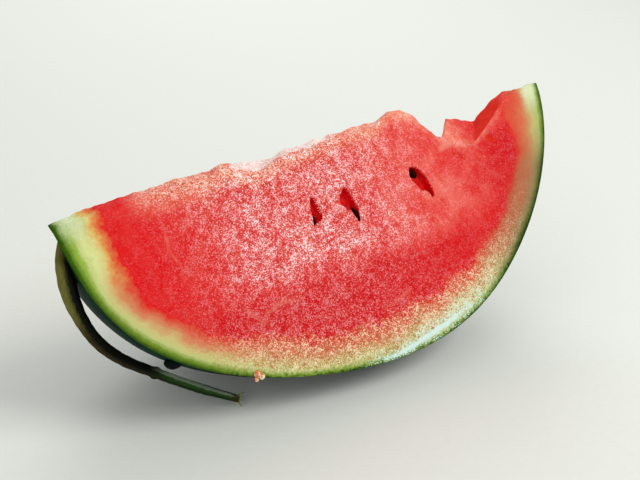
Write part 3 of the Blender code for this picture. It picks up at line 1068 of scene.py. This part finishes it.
def juicy_grain_group():
    """Fine cells of the flesh: how strongly each spot takes a painted glint, how dark each spot is, and its
    height.
    """
    group, start, end = new_group(
        "juicy_grain",
        (("Vector", "NodeSocketVector", None), ("Cells", "NodeSocketFloat", 1400.0)),
        (("PaintedGlint", "NodeSocketFloat"), ("Dark", "NodeSocketFloat"), ("Height", "NodeSocketFloat")),
    )
    vector, scale = start.outputs["Vector"], start.outputs["Cells"]
    fine = noise_node(group, vector, scale, 1.0, 0.5)
    cells = put(group, "ShaderNodeTexVoronoi", {"Vector": vector, "Scale": scale, "Randomness": 1.0})
    chance = put(group, "ShaderNodeSeparateColor", {"Color": cells.outputs["Color"]}).outputs["Red"]
    clump = noise_node(group, vector, 300.0, 2.0, 0.6)
    speck = add(group, multiply(group, fine, 0.55), multiply(group, chance, 0.45))
    speck = add(group, speck, remap(group, clump, 0.25, 0.75, -0.10, 0.10))
    round_cells = remap(group, cells.outputs["Distance"], 0.0, 0.8, 1.0, 0.0)
    # PaintedGlint: where a painted highlight whitens single cells.
    feed(group, end.inputs["PaintedGlint"], remap(group, speck, 0.49, 0.74))
    # Dark: the darkest specks, which the materials deepen as painted shade between the painted glints.
    feed(group, end.inputs["Dark"], remap(group, speck, 0.46, 0.26))
    feed(group, end.inputs["Height"], add(group, round_cells, fine))
    return group


def place_group(tree, group, inputs):
    made = tree.nodes.new("ShaderNodeGroup")
    made.node_tree = group
    for name, value in inputs.items():
        feed(tree, made.inputs[name], value)
    return made


def rind_ramp(tree, share, stops):
    """Colours from the skin inwards, with each stop at a share of the rind's depth."""
    reach = stops[-1][0]
    scaled = [(place / reach, colour) for place, colour in stops]
    return ramp(tree, calculate(tree, "DIVIDE", share, reach), scaled)


def cool_stops(colours):
    """The rind towards the stem end."""
    green, lime, pale, yellow = colours.rind_green, colours.rind_lime, colours.rind_pale, colours.rind_yellow
    warm, edge, flesh = colours.rind_warm, colours.rind_edge, colours.flesh
    return (
        (0.0, mix_of(colours.skin, green, 0.5)),
        (0.04, mix_of(green, lime, 0.1)),
        (0.12, mix_of(green, lime, 0.6)),
        (0.18, lime),
        (0.25, mix_of(lime, pale, 0.45)),
        (0.34, pale),
        (0.48, yellow),
        (0.64, mix_of(yellow, warm, 0.75)),
        (0.80, mix_of(warm, edge, 0.5)),
        (0.95, edge),
        (1.06, mix_of(edge, flesh, 0.5)),
        (1.20, flesh),
    )


def tip_stops(colours):
    """The brighter rind at the stem end's tip."""
    green, lime, pale = colours.tip_green, colours.tip_lime, colours.tip_pale
    warm, edge = colours.tip_warm, colours.tip_edge
    return (
        (0.0, mix_of(colours.skin, green, 0.6)),
        (0.07, green),
        (0.15, mix_of(green, lime, 0.45)),
        (0.25, lime),
        (0.38, mix_of(lime, pale, 0.70)),
        (0.54, pale),
        (0.72, mix_of(pale, warm, 0.25)),
        (0.88, warm),
        (0.97, mix_of(warm, edge, 0.6)),
        (1.05, edge),
        (1.22, colours.flesh),
    )


def mottled_stops(colours):
    """The warmer rind in the middle of the face."""
    green, lime, pale, yellow = colours.rind_green, colours.rind_lime, colours.rind_pale, colours.rind_yellow
    warm, edge, flesh = colours.rind_warm, colours.rind_edge, colours.flesh
    return (
        (0.0, mix_of(colours.skin, green, 0.7)),
        (0.05, mix_of(green, lime, 0.5)),
        (0.11, mix_of(lime, pale, 0.2)),
        (0.21, mix_of(lime, pale, 0.85)),
        (0.40, mix_of(yellow, lime, 0.10)),
        (0.56, mix_of(mix_of(yellow, warm, 0.9), lime, 0.12)),
        (0.72, mix_of(mix_of(warm, edge, 0.6), lime, 0.06)),
        (0.86, edge),
        (1.02, mix_of(edge, flesh, 0.40)),
        (1.28, flesh),
    )


def dull_stops(colours):
    """The tan rind at the blossom end, which fades slowly into the flesh."""
    green, tan, edge, painted_shading = colours.rind_green, colours.rind_tan, colours.rind_edge, colours.flesh_painted_shade
    dusky = mix_of(tan, edge, 0.3)
    return (
        (0.0, colours.skin),
        (0.07, mix_of(colours.skin, green, 0.85)),
        (0.13, mix_of(green, tan, 0.25)),
        (0.20, mix_of(green, tan, 0.62)),
        (0.29, tan),
        (0.43, mix_of(tan, edge, 0.22)),
        (0.56, mix_of(dusky, painted_shading, 0.18)),
        (0.72, mix_of(dusky, painted_shading, 0.24)),
        (0.90, mix_of(dusky, painted_shading, 0.34)),
        (1.04, mix_of(dusky, painted_shading, 0.58)),
        (1.20, mix_of(dusky, painted_shading, 0.80)),
        (1.40, painted_shading),
    )


def wandering_share(tree, vector, painted_sparkle):
    """The share of the rind's depth, moved to and fro in broad patches and in fine specks."""
    share = attribute(tree, "rind_share")
    broad = noise_node(tree, vector, 75.0, 3.0, 0.55)
    fine = noise_node(tree, vector, 700.0, 2.0, 0.6)
    wander = multiply(tree, calculate(tree, "SUBTRACT", broad, 0.5), remap(tree, share, 0.1, 0.8, 0.10, 0.85))
    rough = remap(tree, share, 0.05, 0.9, 0.25, 1.0)
    rough = multiply(tree, rough, remap(tree, painted_sparkle, 0.0, 0.8, 0.22, 1.05))
    speckle = multiply(tree, calculate(tree, "SUBTRACT", fine, 0.5), rough)
    return add(tree, share, add(tree, wander, speckle))


def rind_colour(tree, colours, cells, moved, painted_sparkle):
    """From the skin line inwards: dark green, green, pale, yellow or warm, then the flesh's edge; with cream
    specks that are partly painted glints, dark specks that are partly painted shade, and whitening that is
    partly a painted highlight.
    """
    along = attribute(tree, "along")
    cool = rind_ramp(tree, moved, cool_stops(colours))
    mottled = rind_ramp(tree, moved, mottled_stops(colours))
    whole = mix(tree, remap(tree, along, -0.082, -0.044), cool, mottled)
    whole = mix(tree, attribute(tree, "tip"), whole, rind_ramp(tree, moved, tip_stops(colours)))
    whole = mix(tree, attribute(tree, "dull"), whole, rind_ramp(tree, moved, dull_stops(colours)))
    band = multiply(tree, remap(tree, moved, 0.06, 0.24), remap(tree, moved, 0.42, 0.82, 1.0, 0.0))
    # Whiter rind at the tips and a painted highlight low down to the right.
    whitened_and_sheen = multiply(tree, band, attribute(tree, "whitened_and_sheen"))
    whole = mix(tree, multiply(tree, whitened_and_sheen, 0.85), whole, colours.rind_white)
    grain = multiply(tree, painted_sparkle, remap(tree, moved, 0.10, 0.32))
    # Dark specks on the rind, partly painted shade between the painted glints.
    dark = multiply(tree, cells.outputs["Dark"], multiply(tree, grain, 0.95))
    whole = mix(tree, dark, whole, mix_of(colours.rind_edge, colours.rind_green, 0.35))
    # Cream specks on the rind, partly painted glints.
    glint = multiply(tree, cells.outputs["PaintedGlint"], remap(tree, grain, 0.02, 1.0, 0.0, 0.95))
    return mix(tree, glint, whole, colours.cream_and_glint)


def flesh_colour(tree, colours, cells, vector, painted_sparkle):
    """Red flesh, paler where it is frosted, with its seams, painted shade towards the blossom end and low
    down, painted glints on its cells and dark cells deepened as painted shade.
    """
    frost_and_painted_glint = attribute(tree, "frost_and_painted_glint")
    peach = attribute(tree, "peach")
    torn = attribute(tree, "torn")
    cloud = noise_node(tree, vector, 120.0, 3.0, 0.6)
    fibres = put(tree, "ShaderNodeUVMap", uv_map="fibres").outputs["UV"]
    streaks = stretched_noise(tree, fibres, (430.0, 80.0, 1.0), 1.0, 3.0, 0.6)

    clouded = multiply(tree, frost_and_painted_glint, remap(tree, cloud, 0.36, 0.64, 0.50, 1.25))
    peachy = multiply(tree, peach, remap(tree, cloud, 0.36, 0.62, 0.62, 1.0))
    # Painted shade: darker red towards the blossom end and low on the face.
    flesh = mix(tree, attribute(tree, "painted_shading"), colours.flesh, colours.flesh_painted_shade)
    flesh = mix(tree, remap(tree, cloud, 0.35, 0.70, 0.0, 0.14), flesh, colours.flesh_light)
    flesh = mix(tree, multiply(tree, clouded, 0.80), flesh, colours.flesh_light)
    flesh = mix(tree, peachy, flesh, colours.flesh_peach)
    streaked = multiply(tree, remap(tree, streaks, 0.50, 0.70, 0.0, 0.70), frost_and_painted_glint)
    streaked = calculate(tree, "MAXIMUM", streaked, attribute(tree, "seam"))
    flesh = mix(tree, streaked, flesh, colours.flesh_orange)
    flesh = mix(tree, torn, flesh, colours.torn)

    # Dark specks between the cells, partly painted shade, strongest where the painted glints are.
    dark = multiply(tree, cells.outputs["Dark"], remap(tree, painted_sparkle, 0.0, 1.0, 0.05, 0.70))
    flesh = mix(tree, dark, flesh, colours.flesh_dark_and_shade)
    # Painted glints: white highlights painted on single cells, strongest where the flesh glitters, weaker
    # along the streaks and in the tears.
    bright = multiply(tree, painted_sparkle, remap(tree, clouded, 0.0, 1.0, 0.32, 1.0))
    bright = multiply(tree, bright, remap(tree, streaks, 0.50, 0.70, 1.0, 0.40))
    # More painted glints along the ridge.
    bright = add(tree, bright, multiply(tree, peachy, 0.35))
    bright = add(tree, bright, 0.05)
    bright = multiply(tree, bright, remap(tree, torn, 0.0, 1.0, 1.0, 0.2))
    glint_colour = mix(tree, multiply(tree, peach, 0.5), colours.frost_and_painted_glint, colours.cream_and_glint)
    return mix(tree, multiply(tree, cells.outputs["PaintedGlint"], bright), flesh, glint_colour)


def with_painted_glare(tree, colours, cells, base, moved):
    """Whitens the wet edges with painted glare, in specks that join up where the glare is strong."""
    painted_glare = attribute(tree, "painted_glare")
    specks = multiply(tree, calculate(tree, "SUBTRACT", cells.outputs["PaintedGlint"], 0.4), 0.75)
    cover = remap(tree, add(tree, painted_glare, specks), 0.35, 0.80)
    cover = multiply(tree, cover, remap(tree, painted_glare, 0.02, 0.20))
    white = mix(tree, remap(tree, moved, 0.9, 1.3), colours.painted_rim_glare, colours.painted_glare)
    return mix(tree, cover, base, white)


def flesh_material(colours, grain):
    made, tree, shader, vector = new_material("melon_flesh")
    cells = place_group(tree, grain, {"Vector": vector, "Cells": FLESH_CELLS})
    painted_sparkle = attribute(tree, "painted_sparkle")
    moved = wandering_share(tree, vector, painted_sparkle)
    rind = rind_colour(tree, colours, cells, moved, painted_sparkle)
    flesh = flesh_colour(tree, colours, cells, vector, painted_sparkle)
    whole = mix(tree, remap(tree, moved, 1.05, 1.35), rind, flesh)
    whole = mix(tree, attribute(tree, "vein"), whole, colours.vein)
    set_shader(
        tree,
        shader,
        {
            "Base Color": with_painted_glare(tree, colours, cells, whole, moved),
            "Roughness": remap(tree, cells.outputs["PaintedGlint"], 0.0, 1.0, 0.45, 0.28),
            "Normal": bump_of(tree, cells.outputs["Height"], 0.45, 0.0004),
            "Subsurface Weight": 0.08,
            "Subsurface Radius": (1.0, 0.25, 0.15),
            "Subsurface Scale": 0.0012,
            "Specular IOR Level": 0.02,
            "IOR": WET_IOR,
        },
    )
    return made


def skin_material(colours):
    """Dark green with faint stripes along the melon, and dry where the stem grows out of it."""
    made, tree, shader, vector = new_material("melon_skin")
    stripes = stretched_noise(tree, vector, (14.0, 62.0, 62.0), 1.0, 5.0, 0.65)
    speckle = noise_node(tree, vector, 900.0, 2.0, 0.6)
    base = mix(tree, remap(tree, stripes, 0.46, 0.62), colours.skin, colours.skin_stripe)
    base = mix(tree, remap(tree, speckle, 0.62, 0.80, 0.0, 0.25), base, colours.rind_green)
    ends = remap(tree, attribute(tree, "along"), -0.1148, -0.1135, 0.25, 0.0)
    set_shader(
        tree,
        shader,
        {
            "Base Color": mix(tree, ends, base, colours.stem_dry_and_lit),
            "Roughness": remap(tree, speckle, 0.3, 0.8, 0.46, 0.58),
            "Normal": bump_of(tree, noise_node(tree, vector, 260.0, 3.0, 0.5), 0.25, 0.0004),
            "Specular IOR Level": 0.02,
        },
    )
    return made


def hollow_material(colours, grain):
    made, tree, shader, vector = new_material("seed_hollow")
    cells = place_group(tree, grain, {"Vector": vector, "Cells": HOLLOW_CELLS})
    cloud = noise_node(tree, vector, 260.0, 2.0, 0.5)
    dark = mix_of(colours.hollow, colours.seed, 0.22)
    base = mix(tree, remap(tree, cloud, 0.40, 0.70), colours.hollow, dark)
    set_shader(
        tree,
        shader,
        {
            # A few painted glints on the hollow's walls.
            "Base Color": mix(tree, multiply(tree, cells.outputs["PaintedGlint"], 0.12), base, colours.flesh_light),
            "Roughness": 0.4,
            "Normal": bump_of(tree, cells.outputs["Height"], 0.3, 0.0003),
            "Specular IOR Level": 0.05,
            "IOR": WET_IOR,
        },
    )
    return made


def seed_material(colours):
    made, tree, shader, vector = new_material("seed_coat")
    mottle = noise_node(tree, vector, 700.0, 3.0, 0.6)
    brown = mix_of(colours.seed, colours.rind_edge, 0.04)
    set_shader(
        tree,
        shader,
        {
            "Base Color": mix(tree, remap(tree, mottle, 0.5, 0.75), colours.seed, brown),
            "Roughness": remap(tree, mottle, 0.3, 0.7, 0.42, 0.58),
            "Normal": bump_of(tree, mottle, 0.3, 0.0002),
            "Specular IOR Level": 0.01,
        },
    )
    return made


def crumb_material(colours):
    made, tree, shader, vector = new_material("flesh_crumb")
    # The palest stop is partly a painted highlight on the wet crumb.
    stops = (
        (0.35, mix_of(colours.crumb, colours.torn, 0.45)),
        (0.48, colours.crumb),
        (0.62, colours.cream_and_glint),
    )
    base = ramp(tree, noise_node(tree, vector, 620.0, 2.0, 0.5), stops)
    wet = {"Base Color": base, "Roughness": 0.2, "Subsurface Weight": 0.3, "Subsurface Scale": 0.002}
    set_shader(tree, shader, wet)
    return made


# The drop's near-black green is painted shade: it hangs in the shadow under the skin.
def dark_drop_material(colours):
    made, tree, shader, vector = new_material("dark_drip")
    cloud = noise_node(tree, vector, 600.0, 2.0, 0.5)
    greenish = mix_of(colours.skin, colours.stem_painted_shade, 0.7)
    base = mix(tree, remap(tree, cloud, 0.35, 0.7), greenish, colours.stem_painted_shade)
    set_shader(tree, shader, {"Base Color": base, "Roughness": 0.5, "Specular IOR Level": 0.03})
    return made


def stem_material(colours):
    """Painted light in the dry colour on the side towards the lamps, painted shade on the side towards the
    melon; greener along its lower stretch, with a painted lit upper side.
    """
    made, tree, shader, vector = new_material("stem_bark")
    dry_lit, brown, green = colours.stem_dry_and_lit, colours.stem_brown, colours.stem_green
    # pale is painted light on the upper side, dark is painted shade.
    pale, dark = colours.stem_lit_pale, colours.stem_painted_shade
    wrapped = put(tree, "ShaderNodeUVMap", uv_map="stem").outputs["UV"]
    grooves = stretched_noise(tree, wrapped, (9.0, 0.9, 1.0), 4.0, 3.0, 0.6)
    mottle = noise_node(tree, vector, 240.0, 4.0, 0.65)
    along = attribute(tree, "stem_along")
    # How far round towards the painted lit side each point is, made uneven by the grooves.
    uneven = multiply(tree, calculate(tree, "SUBTRACT", grooves, 0.5), 0.30)
    painted_shading = add(tree, attribute(tree, "lit_side"), uneven)

    lit = ramp(tree, along, ((0.0, dry_lit), (0.24, dry_lit), (0.38, brown), (0.60, mix_of(brown, dark, 0.6))))
    lit = mix(tree, remap(tree, mottle, 0.45, 0.72, 0.0, 0.35), lit, brown)
    # Painted shade on the side away from the lamps, painted light on the side towards them.
    near = mix(tree, remap(tree, painted_shading, 0.66, 1.0), dark, lit)
    # Along the lower stretch: painted shade, painted light on the upper side, the green stem, then painted
    # shade again.
    across = ((0.06, dark), (0.16, pale), (0.42, pale), (0.56, green), (0.92, mix_of(green, dark, 0.7)))
    base = mix(tree, remap(tree, along, 0.62, 0.72), near, ramp(tree, painted_shading, across))
    height = add(tree, grooves, multiply(tree, mottle, 0.5))
    set_shader(
        tree,
        shader,
        {
            "Base Color": mix(tree, remap(tree, along, 0.955, 0.985, 0.0, 0.85), base, brown),
            "Roughness": remap(tree, mottle, 0.3, 0.7, 0.60, 0.78),
            "Normal": bump_of(tree, height, 0.5, 0.0004),
            "Specular IOR Level": 0.08,
        },
    )
    return made


def fibre_material(colours):
    made, tree, shader, vector = new_material("frayed_fibre")
    mottle = noise_node(tree, vector, 900.0, 2.0, 0.6)
    greener = mix_of(colours.fibre, colours.stem_green, 0.5)
    base = mix(tree, remap(tree, mottle, 0.35, 0.7), colours.fibre, greener)
    set_shader(tree, shader, {"Base Color": base, "Roughness": 0.7})
    return made


def table_material(colours):
    made, tree, shader, vector = new_material("pale_table")
    paper = noise_node(tree, vector, 300.0, 3.0, 0.6)
    lighter = mix_of(colours.table, (1.0, 1.0, 1.0), 0.06)
    base = mix(tree, remap(tree, paper, 0.3, 0.7), colours.table, lighter)
    set_shader(tree, shader, {"Base Color": base, "Roughness": 0.8})
    return made


# ---- Seeds, drips and stem ----


def face_place(melon, along, down, side, out):
    """A point over a cut face, in the world."""
    angle = melon.sizes.half_angle
    point = Vector((along, side * down * sin(angle), melon.sizes.apex_height - down * cos(angle)))
    point += Vector((0.0, side * cos(angle), sin(angle))) * out
    return melon.place @ point


def face_turn(melon, side, turn):
    """Axes on a cut face: X along it, Y down it and Z out of it, turned about Z."""
    angle = melon.sizes.half_angle
    down = (0.0, side * sin(angle), -cos(angle))
    out = (0.0, side * cos(angle), sin(angle))
    axes = Matrix(((1.0, 0.0, 0.0), down, out))
    return melon.place.to_3x3() @ axes.transposed() @ Matrix.Rotation(turn, 3, "Z")


def add_seed(shape, melon, along, down, side, out, halves, turn, tip):
    """A flat oval drawn in towards its pointed end."""
    made = bmesh.ops.create_uvsphere(shape, u_segments=28, v_segments=18, radius=1.0)
    turned = face_turn(melon, side, turn)
    middle = face_place(melon, along, down, side, out)
    for vertex in made["verts"]:
        x, y, z = vertex.co
        narrow = 1.0 - tip * max(0.0, -z) ** 1.5
        vertex.co = middle + turned @ Vector((x * halves[0] * narrow, z * halves[1], y * halves[2] * narrow))


def stem_line(melon, count):
    """Evenly spaced points along the stem, with its radius and direction at each, in the world."""
    knots = np.array([place for place, _ in STEM_PATH])
    radii = np.array([radius for _, radius in STEM_PATH])
    runs = np.concatenate(([0.0], np.cumsum(np.linalg.norm(np.diff(knots, axis=0), axis=1))))
    slopes = np.gradient(knots, runs, axis=0)
    wanted = np.linspace(0.0, runs[-1], count)
    after = np.clip(np.searchsorted(runs, wanted, side="right"), 1, len(runs) - 1)
    before = after - 1
    span = runs[after] - runs[before]
    t = ((wanted - runs[before]) / span)[:, None]
    points = (
        (2 * t**3 - 3 * t**2 + 1) * knots[before]
        + (t**3 - 2 * t**2 + t) * span[:, None] * slopes[before]
        + (3 * t**2 - 2 * t**3) * knots[after]
        + (t**3 - t**2) * span[:, None] * slopes[after]
    )
    world = points @ np.array(melon.place.to_3x3()).T + np.array(melon.place.translation)
    return world, np.interp(wanted, runs, radii), wanted / runs[-1]


def carried_frames(points):
    """A direction and two square axes at each point, turned as little as can be from one to the next."""
    directions = np.gradient(points, axis=0)
    directions /= np.linalg.norm(directions, axis=1)[:, None]
    lit_axis = Vector(STEM_LIT_SIDE)
    # The first axis points to the stem's painted lit side.
    frames = []
    for direction in directions:
        ahead = Vector(direction)
        lit_axis = (lit_axis - ahead * lit_axis.dot(ahead)).normalized()
        frames.append((ahead, lit_axis.copy(), ahead.cross(lit_axis)))
    return frames


def stem_shape(melon):
    """A long cylinder bent along the stem's line, with ribs and a swollen joint."""
    shape = bmesh.new()
    bmesh.ops.create_cone(shape, cap_ends=True, segments=STEM_SIDES, radius1=1.0, radius2=1.0, depth=2.0)
    lengthways = [edge for edge in shape.edges if abs(edge.verts[0].co.z - edge.verts[1].co.z) > 1.0]
    bmesh.ops.subdivide_edges(shape, edges=lengthways, cuts=STEM_RINGS - 1, use_grid_fill=True)
    caps = [face for face in shape.faces if len(face.verts) > 4]
    bmesh.ops.inset_region(shape, faces=caps, thickness=0.35)
    caps = [face for face in shape.faces if len(face.verts) > 4]
    bmesh.ops.poke(shape, faces=caps)
    along_layer = shape.verts.layers.float.new("stem_along")
    lit_layer = shape.verts.layers.float.new("lit_side")
    turn_layer = shape.verts.layers.float.new("turn")
    points, radii, shares = stem_line(melon, STEM_RINGS + 1)
    frames = carried_frames(points)
    joint_at, joint_half, joint_swell = STEM_JOINT
    for vertex in shape.verts:
        ring = min(STEM_RINGS, max(0, round((vertex.co.z + 1.0) / 2.0 * STEM_RINGS)))
        share = shares[ring]
        turn = atan2(vertex.co.y, vertex.co.x)
        rib = 1.0 + 0.07 * cos(5.0 * turn + 9.0 * share) + 0.04 * cos(11.0 * turn - 5.0 * share)
        joint = 1.0 + joint_swell * float(swell(share, joint_at, joint_half))
        wobble = 1.0 + 0.07 * noise.noise(Vector((share * 34.0, 3.0, 1.0)))
        reach = sqrt(vertex.co.x**2 + vertex.co.y**2) * radii[ring] * rib * joint * wobble * 0.94
        _, lit_axis, other = frames[ring]
        vertex[along_layer] = share
        # How far round towards the painted lit side the point lies.
        vertex[lit_layer] = 0.5 + 0.5 * cos(turn)
        vertex[turn_layer] = turn
        vertex.co = Vector(points[ring]) + (lit_axis * cos(turn) + other * sin(turn)) * reach
    bmesh.ops.recalc_face_normals(shape, faces=shape.faces)
    stem_map(shape, along_layer, turn_layer)
    return shape


def stem_map(shape, along_layer, turn_layer):
    """A UV map with U round the stem and V along it."""
    layer = shape.loops.layers.uv.new("stem")
    for face in shape.faces:
        turns = [corner.vert[turn_layer] for corner in face.loops]
        wraps = max(turns) - min(turns) > pi
        for corner in face.loops:
            turn = corner.vert[turn_layer]
            turn += 2.0 * pi if wraps and turn < 0.0 else 0.0
            corner[layer].uv = (turn / (2.0 * pi), corner.vert[along_layer] * 15.0)


def add_fibre(shape, root, direction, length, thick, bend):
    """One frayed fibre: a thin cone that bends away from its line."""
    made = bmesh.ops.create_cone(
        shape, cap_ends=True, cap_tris=True, segments=7, radius1=thick, radius2=thick * 0.35, depth=length
    )
    turn = Vector((0.0, 0.0, 1.0)).rotation_difference(direction).to_matrix()
    for vertex in made["verts"]:
        share = vertex.co.z / length + 0.5
        local = Vector((vertex.co.x, vertex.co.y, share * length))
        vertex.co = root + turn @ local + bend * share * share * length


def drops_shape(melon, drops):
    """Rounded drops on the front face's plane, each drawn down at its foot by its hang."""
    shape = bmesh.new()
    for along, down, out, halves, hang in drops:
        middle = face_place(melon, along, down, -1.0, out)
        made = bmesh.ops.create_icosphere(shape, subdivisions=4, radius=1.0)
        for vertex in made["verts"]:
            rough = 1.0 + 0.06 * noise.noise(vertex.co * 2.3 + middle * 900.0)
            local = Vector(vertex.co[i] * halves[i] for i in range(3)) * rough
            local.z -= hang * max(0.0, -vertex.co.z) ** 2
            vertex.co = middle + local
    bmesh.ops.recalc_face_normals(shape, faces=shape.faces)
    return shape


def tuft_shape(melon):
    """Frayed fibres that spread from the end of the stem."""
    points, _, _ = stem_line(melon, STEM_RINGS + 1)
    tip = Vector(points[-1])
    ahead = (tip - Vector(points[-6])).normalized()
    shape = bmesh.new()
    for number in range(FIBRES):
        turn = 2.0 * pi * number / FIBRES + 0.4 * sin(number * 2.3)
        spread = Vector((cos(turn) * 0.5, sin(turn) * 0.35, 0.55 * sin(turn + 0.9)))
        direction = (ahead + 0.9 * spread).normalized()
        length = 0.0026 + 0.0012 * sin(number * 1.7)
        root = tip - ahead * 0.0012 + spread * 0.0006
        bend = Vector((0.1, 0.0, 0.25)) * sin(number * 1.3)
        add_fibre(shape, root, direction, length, FIBRE_THICKNESS, bend)
    bmesh.ops.recalc_face_normals(shape, faces=shape.faces)
    return shape


# ---- Operators ----


def melon_of(context):
    return Melon(context.scene.melon_sizes)


def shared_group(name, make):
    return bpy.data.node_groups.get(name) or make()


class MELON_OT_add_wedge(Operator):
    """Adds the wedge: skin, rind, flesh, torn ridge and seed hollows"""

    bl_idname = "melon.add_wedge"
    bl_label = "Wedge"

    def execute(self, context):
        colours = context.scene.melon_colours
        melon = melon_of(context)
        grain = shared_group("juicy_grain", juicy_grain_group)
        shape, row_layer = wrapped_wedge(melon)
        refine_hollows(shape, row_layer, melon)
        flesh, hollow_walls = flesh_material(colours, grain), hollow_material(colours, grain)
        piece = finished(shape, "watermelon_wedge", (flesh, skin_material(colours), hollow_walls))
        fibre_map(piece.data, melon, places_of(piece.data))
        rows, hollow = shape_wedge(piece, melon)
        paint_faces(piece.data, rows, hollow)
        shape = bmesh.new()
        shape.from_mesh(piece.data)
        mark_rim_sharp(shape)
        shape.to_mesh(piece.data)
        shape.free()
        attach(piece, "root")
        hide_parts("wedge")
        return {"FINISHED"}


class MELON_OT_add_seeds(Operator):
    """Adds the dark seeds that show in the hollows"""

    bl_idname = "melon.add_seeds"
    bl_label = "Seeds"

    def execute(self, context):
        melon = melon_of(context)
        shape = bmesh.new()
        for seed in SEEDS:
            add_seed(shape, melon, *seed)
        bmesh.ops.recalc_face_normals(shape, faces=shape.faces)
        piece = finished(shape, "seeds", (seed_material(context.scene.melon_colours),))
        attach(piece, "root")
        return {"FINISHED"}


class MELON_OT_add_drips(Operator):
    """Adds the crumb of flesh on the rind's lower edge and the dark drop under the skin"""

    bl_idname = "melon.add_drips"
    bl_label = "Drips"

    def execute(self, context):
        colours = context.scene.melon_colours
        melon = melon_of(context)
        crumb = finished(drops_shape(melon, CRUMB_LUMPS), "flesh_crumb", (crumb_material(colours),))
        drop = finished(drops_shape(melon, DARK_DROP), "dark_drop", (dark_drop_material(colours),))
        for piece in (crumb, drop):
            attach(piece, "root")
        return {"FINISHED"}


class MELON_OT_add_stem(Operator):
    """Adds the dried stem and its frayed end"""

    bl_idname = "melon.add_stem"
    bl_label = "Stem"

    def execute(self, context):
        colours = context.scene.melon_colours
        melon = melon_of(context)
        stem = finished(stem_shape(melon), "dried_stem", (stem_material(colours),))
        tuft = finished(tuft_shape(melon), "stem_tuft", (fibre_material(colours),))
        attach(stem, "root")
        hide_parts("stem")
        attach(tuft, "root")
        return {"FINISHED"}


class MELON_OT_add_stage(Operator):
    """Adds the pale table, the soft lamps and the camera"""

    bl_idname = "melon.add_stage"
    bl_label = "Stage"

    def execute(self, context):
        scene = context.scene
        shape = bmesh.new()
        under = Matrix.Translation((0.0, 0.0, -TABLE_GAP))
        bmesh.ops.create_grid(shape, x_segments=1, y_segments=1, size=TABLE_HALF_WIDTH, matrix=under)
        table = finished(shape, "table", (table_material(scene.melon_colours),))
        for name, direction, distance, width, strength in LAMPS:
            lamp = bpy.data.lights.new(name, "AREA")
            lamp.shape = "SQUARE"
            lamp.size = width
            lamp.energy = strength
            holder = bpy.data.objects.new(name, lamp)
            towards = Vector(direction).normalized()
            holder.location = towards * distance
            holder.rotation_euler = towards.to_track_quat("Z", "Y").to_euler()
            scene.collection.objects.link(holder)
        self.add_world(scene)
        self.add_camera(scene)
        scene.view_settings.view_transform = "Standard"
        return {"FINISHED"}

    def add_world(self, scene):
        """Soft light all round, and a plain pale backdrop to the camera."""
        world = bpy.data.worlds.new("studio")
        world.use_nodes = True
        tree = world.node_tree
        background = tree.nodes["Background"]
        paths = put(tree, "ShaderNodeLightPath")
        seen = paths.outputs["Is Camera Ray"]
        for ray in ("Is Transmission Ray", "Is Glossy Ray"):
            seen = calculate(tree, "MAXIMUM", seen, paths.outputs[ray])
        levels = {"Value": seen, "To Min": ROOM_LIGHT, "To Max": BACKDROP_LIGHT}
        feed(tree, background.inputs["Color"], (1.0, 1.0, 1.0, 1.0))
        feed(tree, background.inputs["Strength"], put(tree, "ShaderNodeMapRange", levels).outputs["Result"])
        scene.world = world

    def add_camera(self, scene):
        camera = bpy.data.cameras.new("camera")
        camera.lens = CAMERA_LENS
        camera.clip_start = 0.01
        holder = bpy.data.objects.new("camera", camera)
        turned = Matrix.Rotation(CAMERA_HEADING, 4, "Z") @ Matrix.Rotation(CAMERA_TILT, 4, "X")
        holder.matrix_world = Matrix.Translation(CAMERA_AT) @ turned @ Matrix.Rotation(CAMERA_ROLL, 4, "Z")
        scene.collection.objects.link(holder)
        scene.camera = holder


class MELON_PT_sidebar(Panel):
    """Lists the pieces of the watermelon wedge"""

    bl_label = "Watermelon Wedge"
    bl_idname = "MELON_PT_sidebar"
    bl_space_type = "VIEW_3D"
    bl_region_type = "UI"
    bl_category = "Melon"

    def draw(self, context):
        layout = self.layout
        for operator in OPERATORS:
            layout.operator(operator.bl_idname)
        for group in (context.scene.melon_sizes, context.scene.melon_colours):
            box = layout.box()
            for name in group.__annotations__:
                box.prop(group, name)


OPERATORS = (
    MELON_OT_add_wedge,
    MELON_OT_add_seeds,
    MELON_OT_add_drips,
    MELON_OT_add_stem,
    MELON_OT_add_stage,
)
CLASSES = (MelonSizes, MelonColours, *OPERATORS, MELON_PT_sidebar)


def register():
    for made in CLASSES:
        bpy.utils.register_class(made)
    bpy.types.Scene.melon_sizes = PointerProperty(type=MelonSizes)
    bpy.types.Scene.melon_colours = PointerProperty(type=MelonColours)


def unregister():
    del bpy.types.Scene.melon_colours
    del bpy.types.Scene.melon_sizes
    for made in reversed(CLASSES):
        bpy.utils.unregister_class(made)


def main():
    register()
    bpy.ops.melon.add_wedge()
    bpy.ops.melon.add_seeds()
    bpy.ops.melon.add_drips()
    bpy.ops.melon.add_stem()
    bpy.ops.melon.add_stage()


if __name__ == "__main__":
    main()
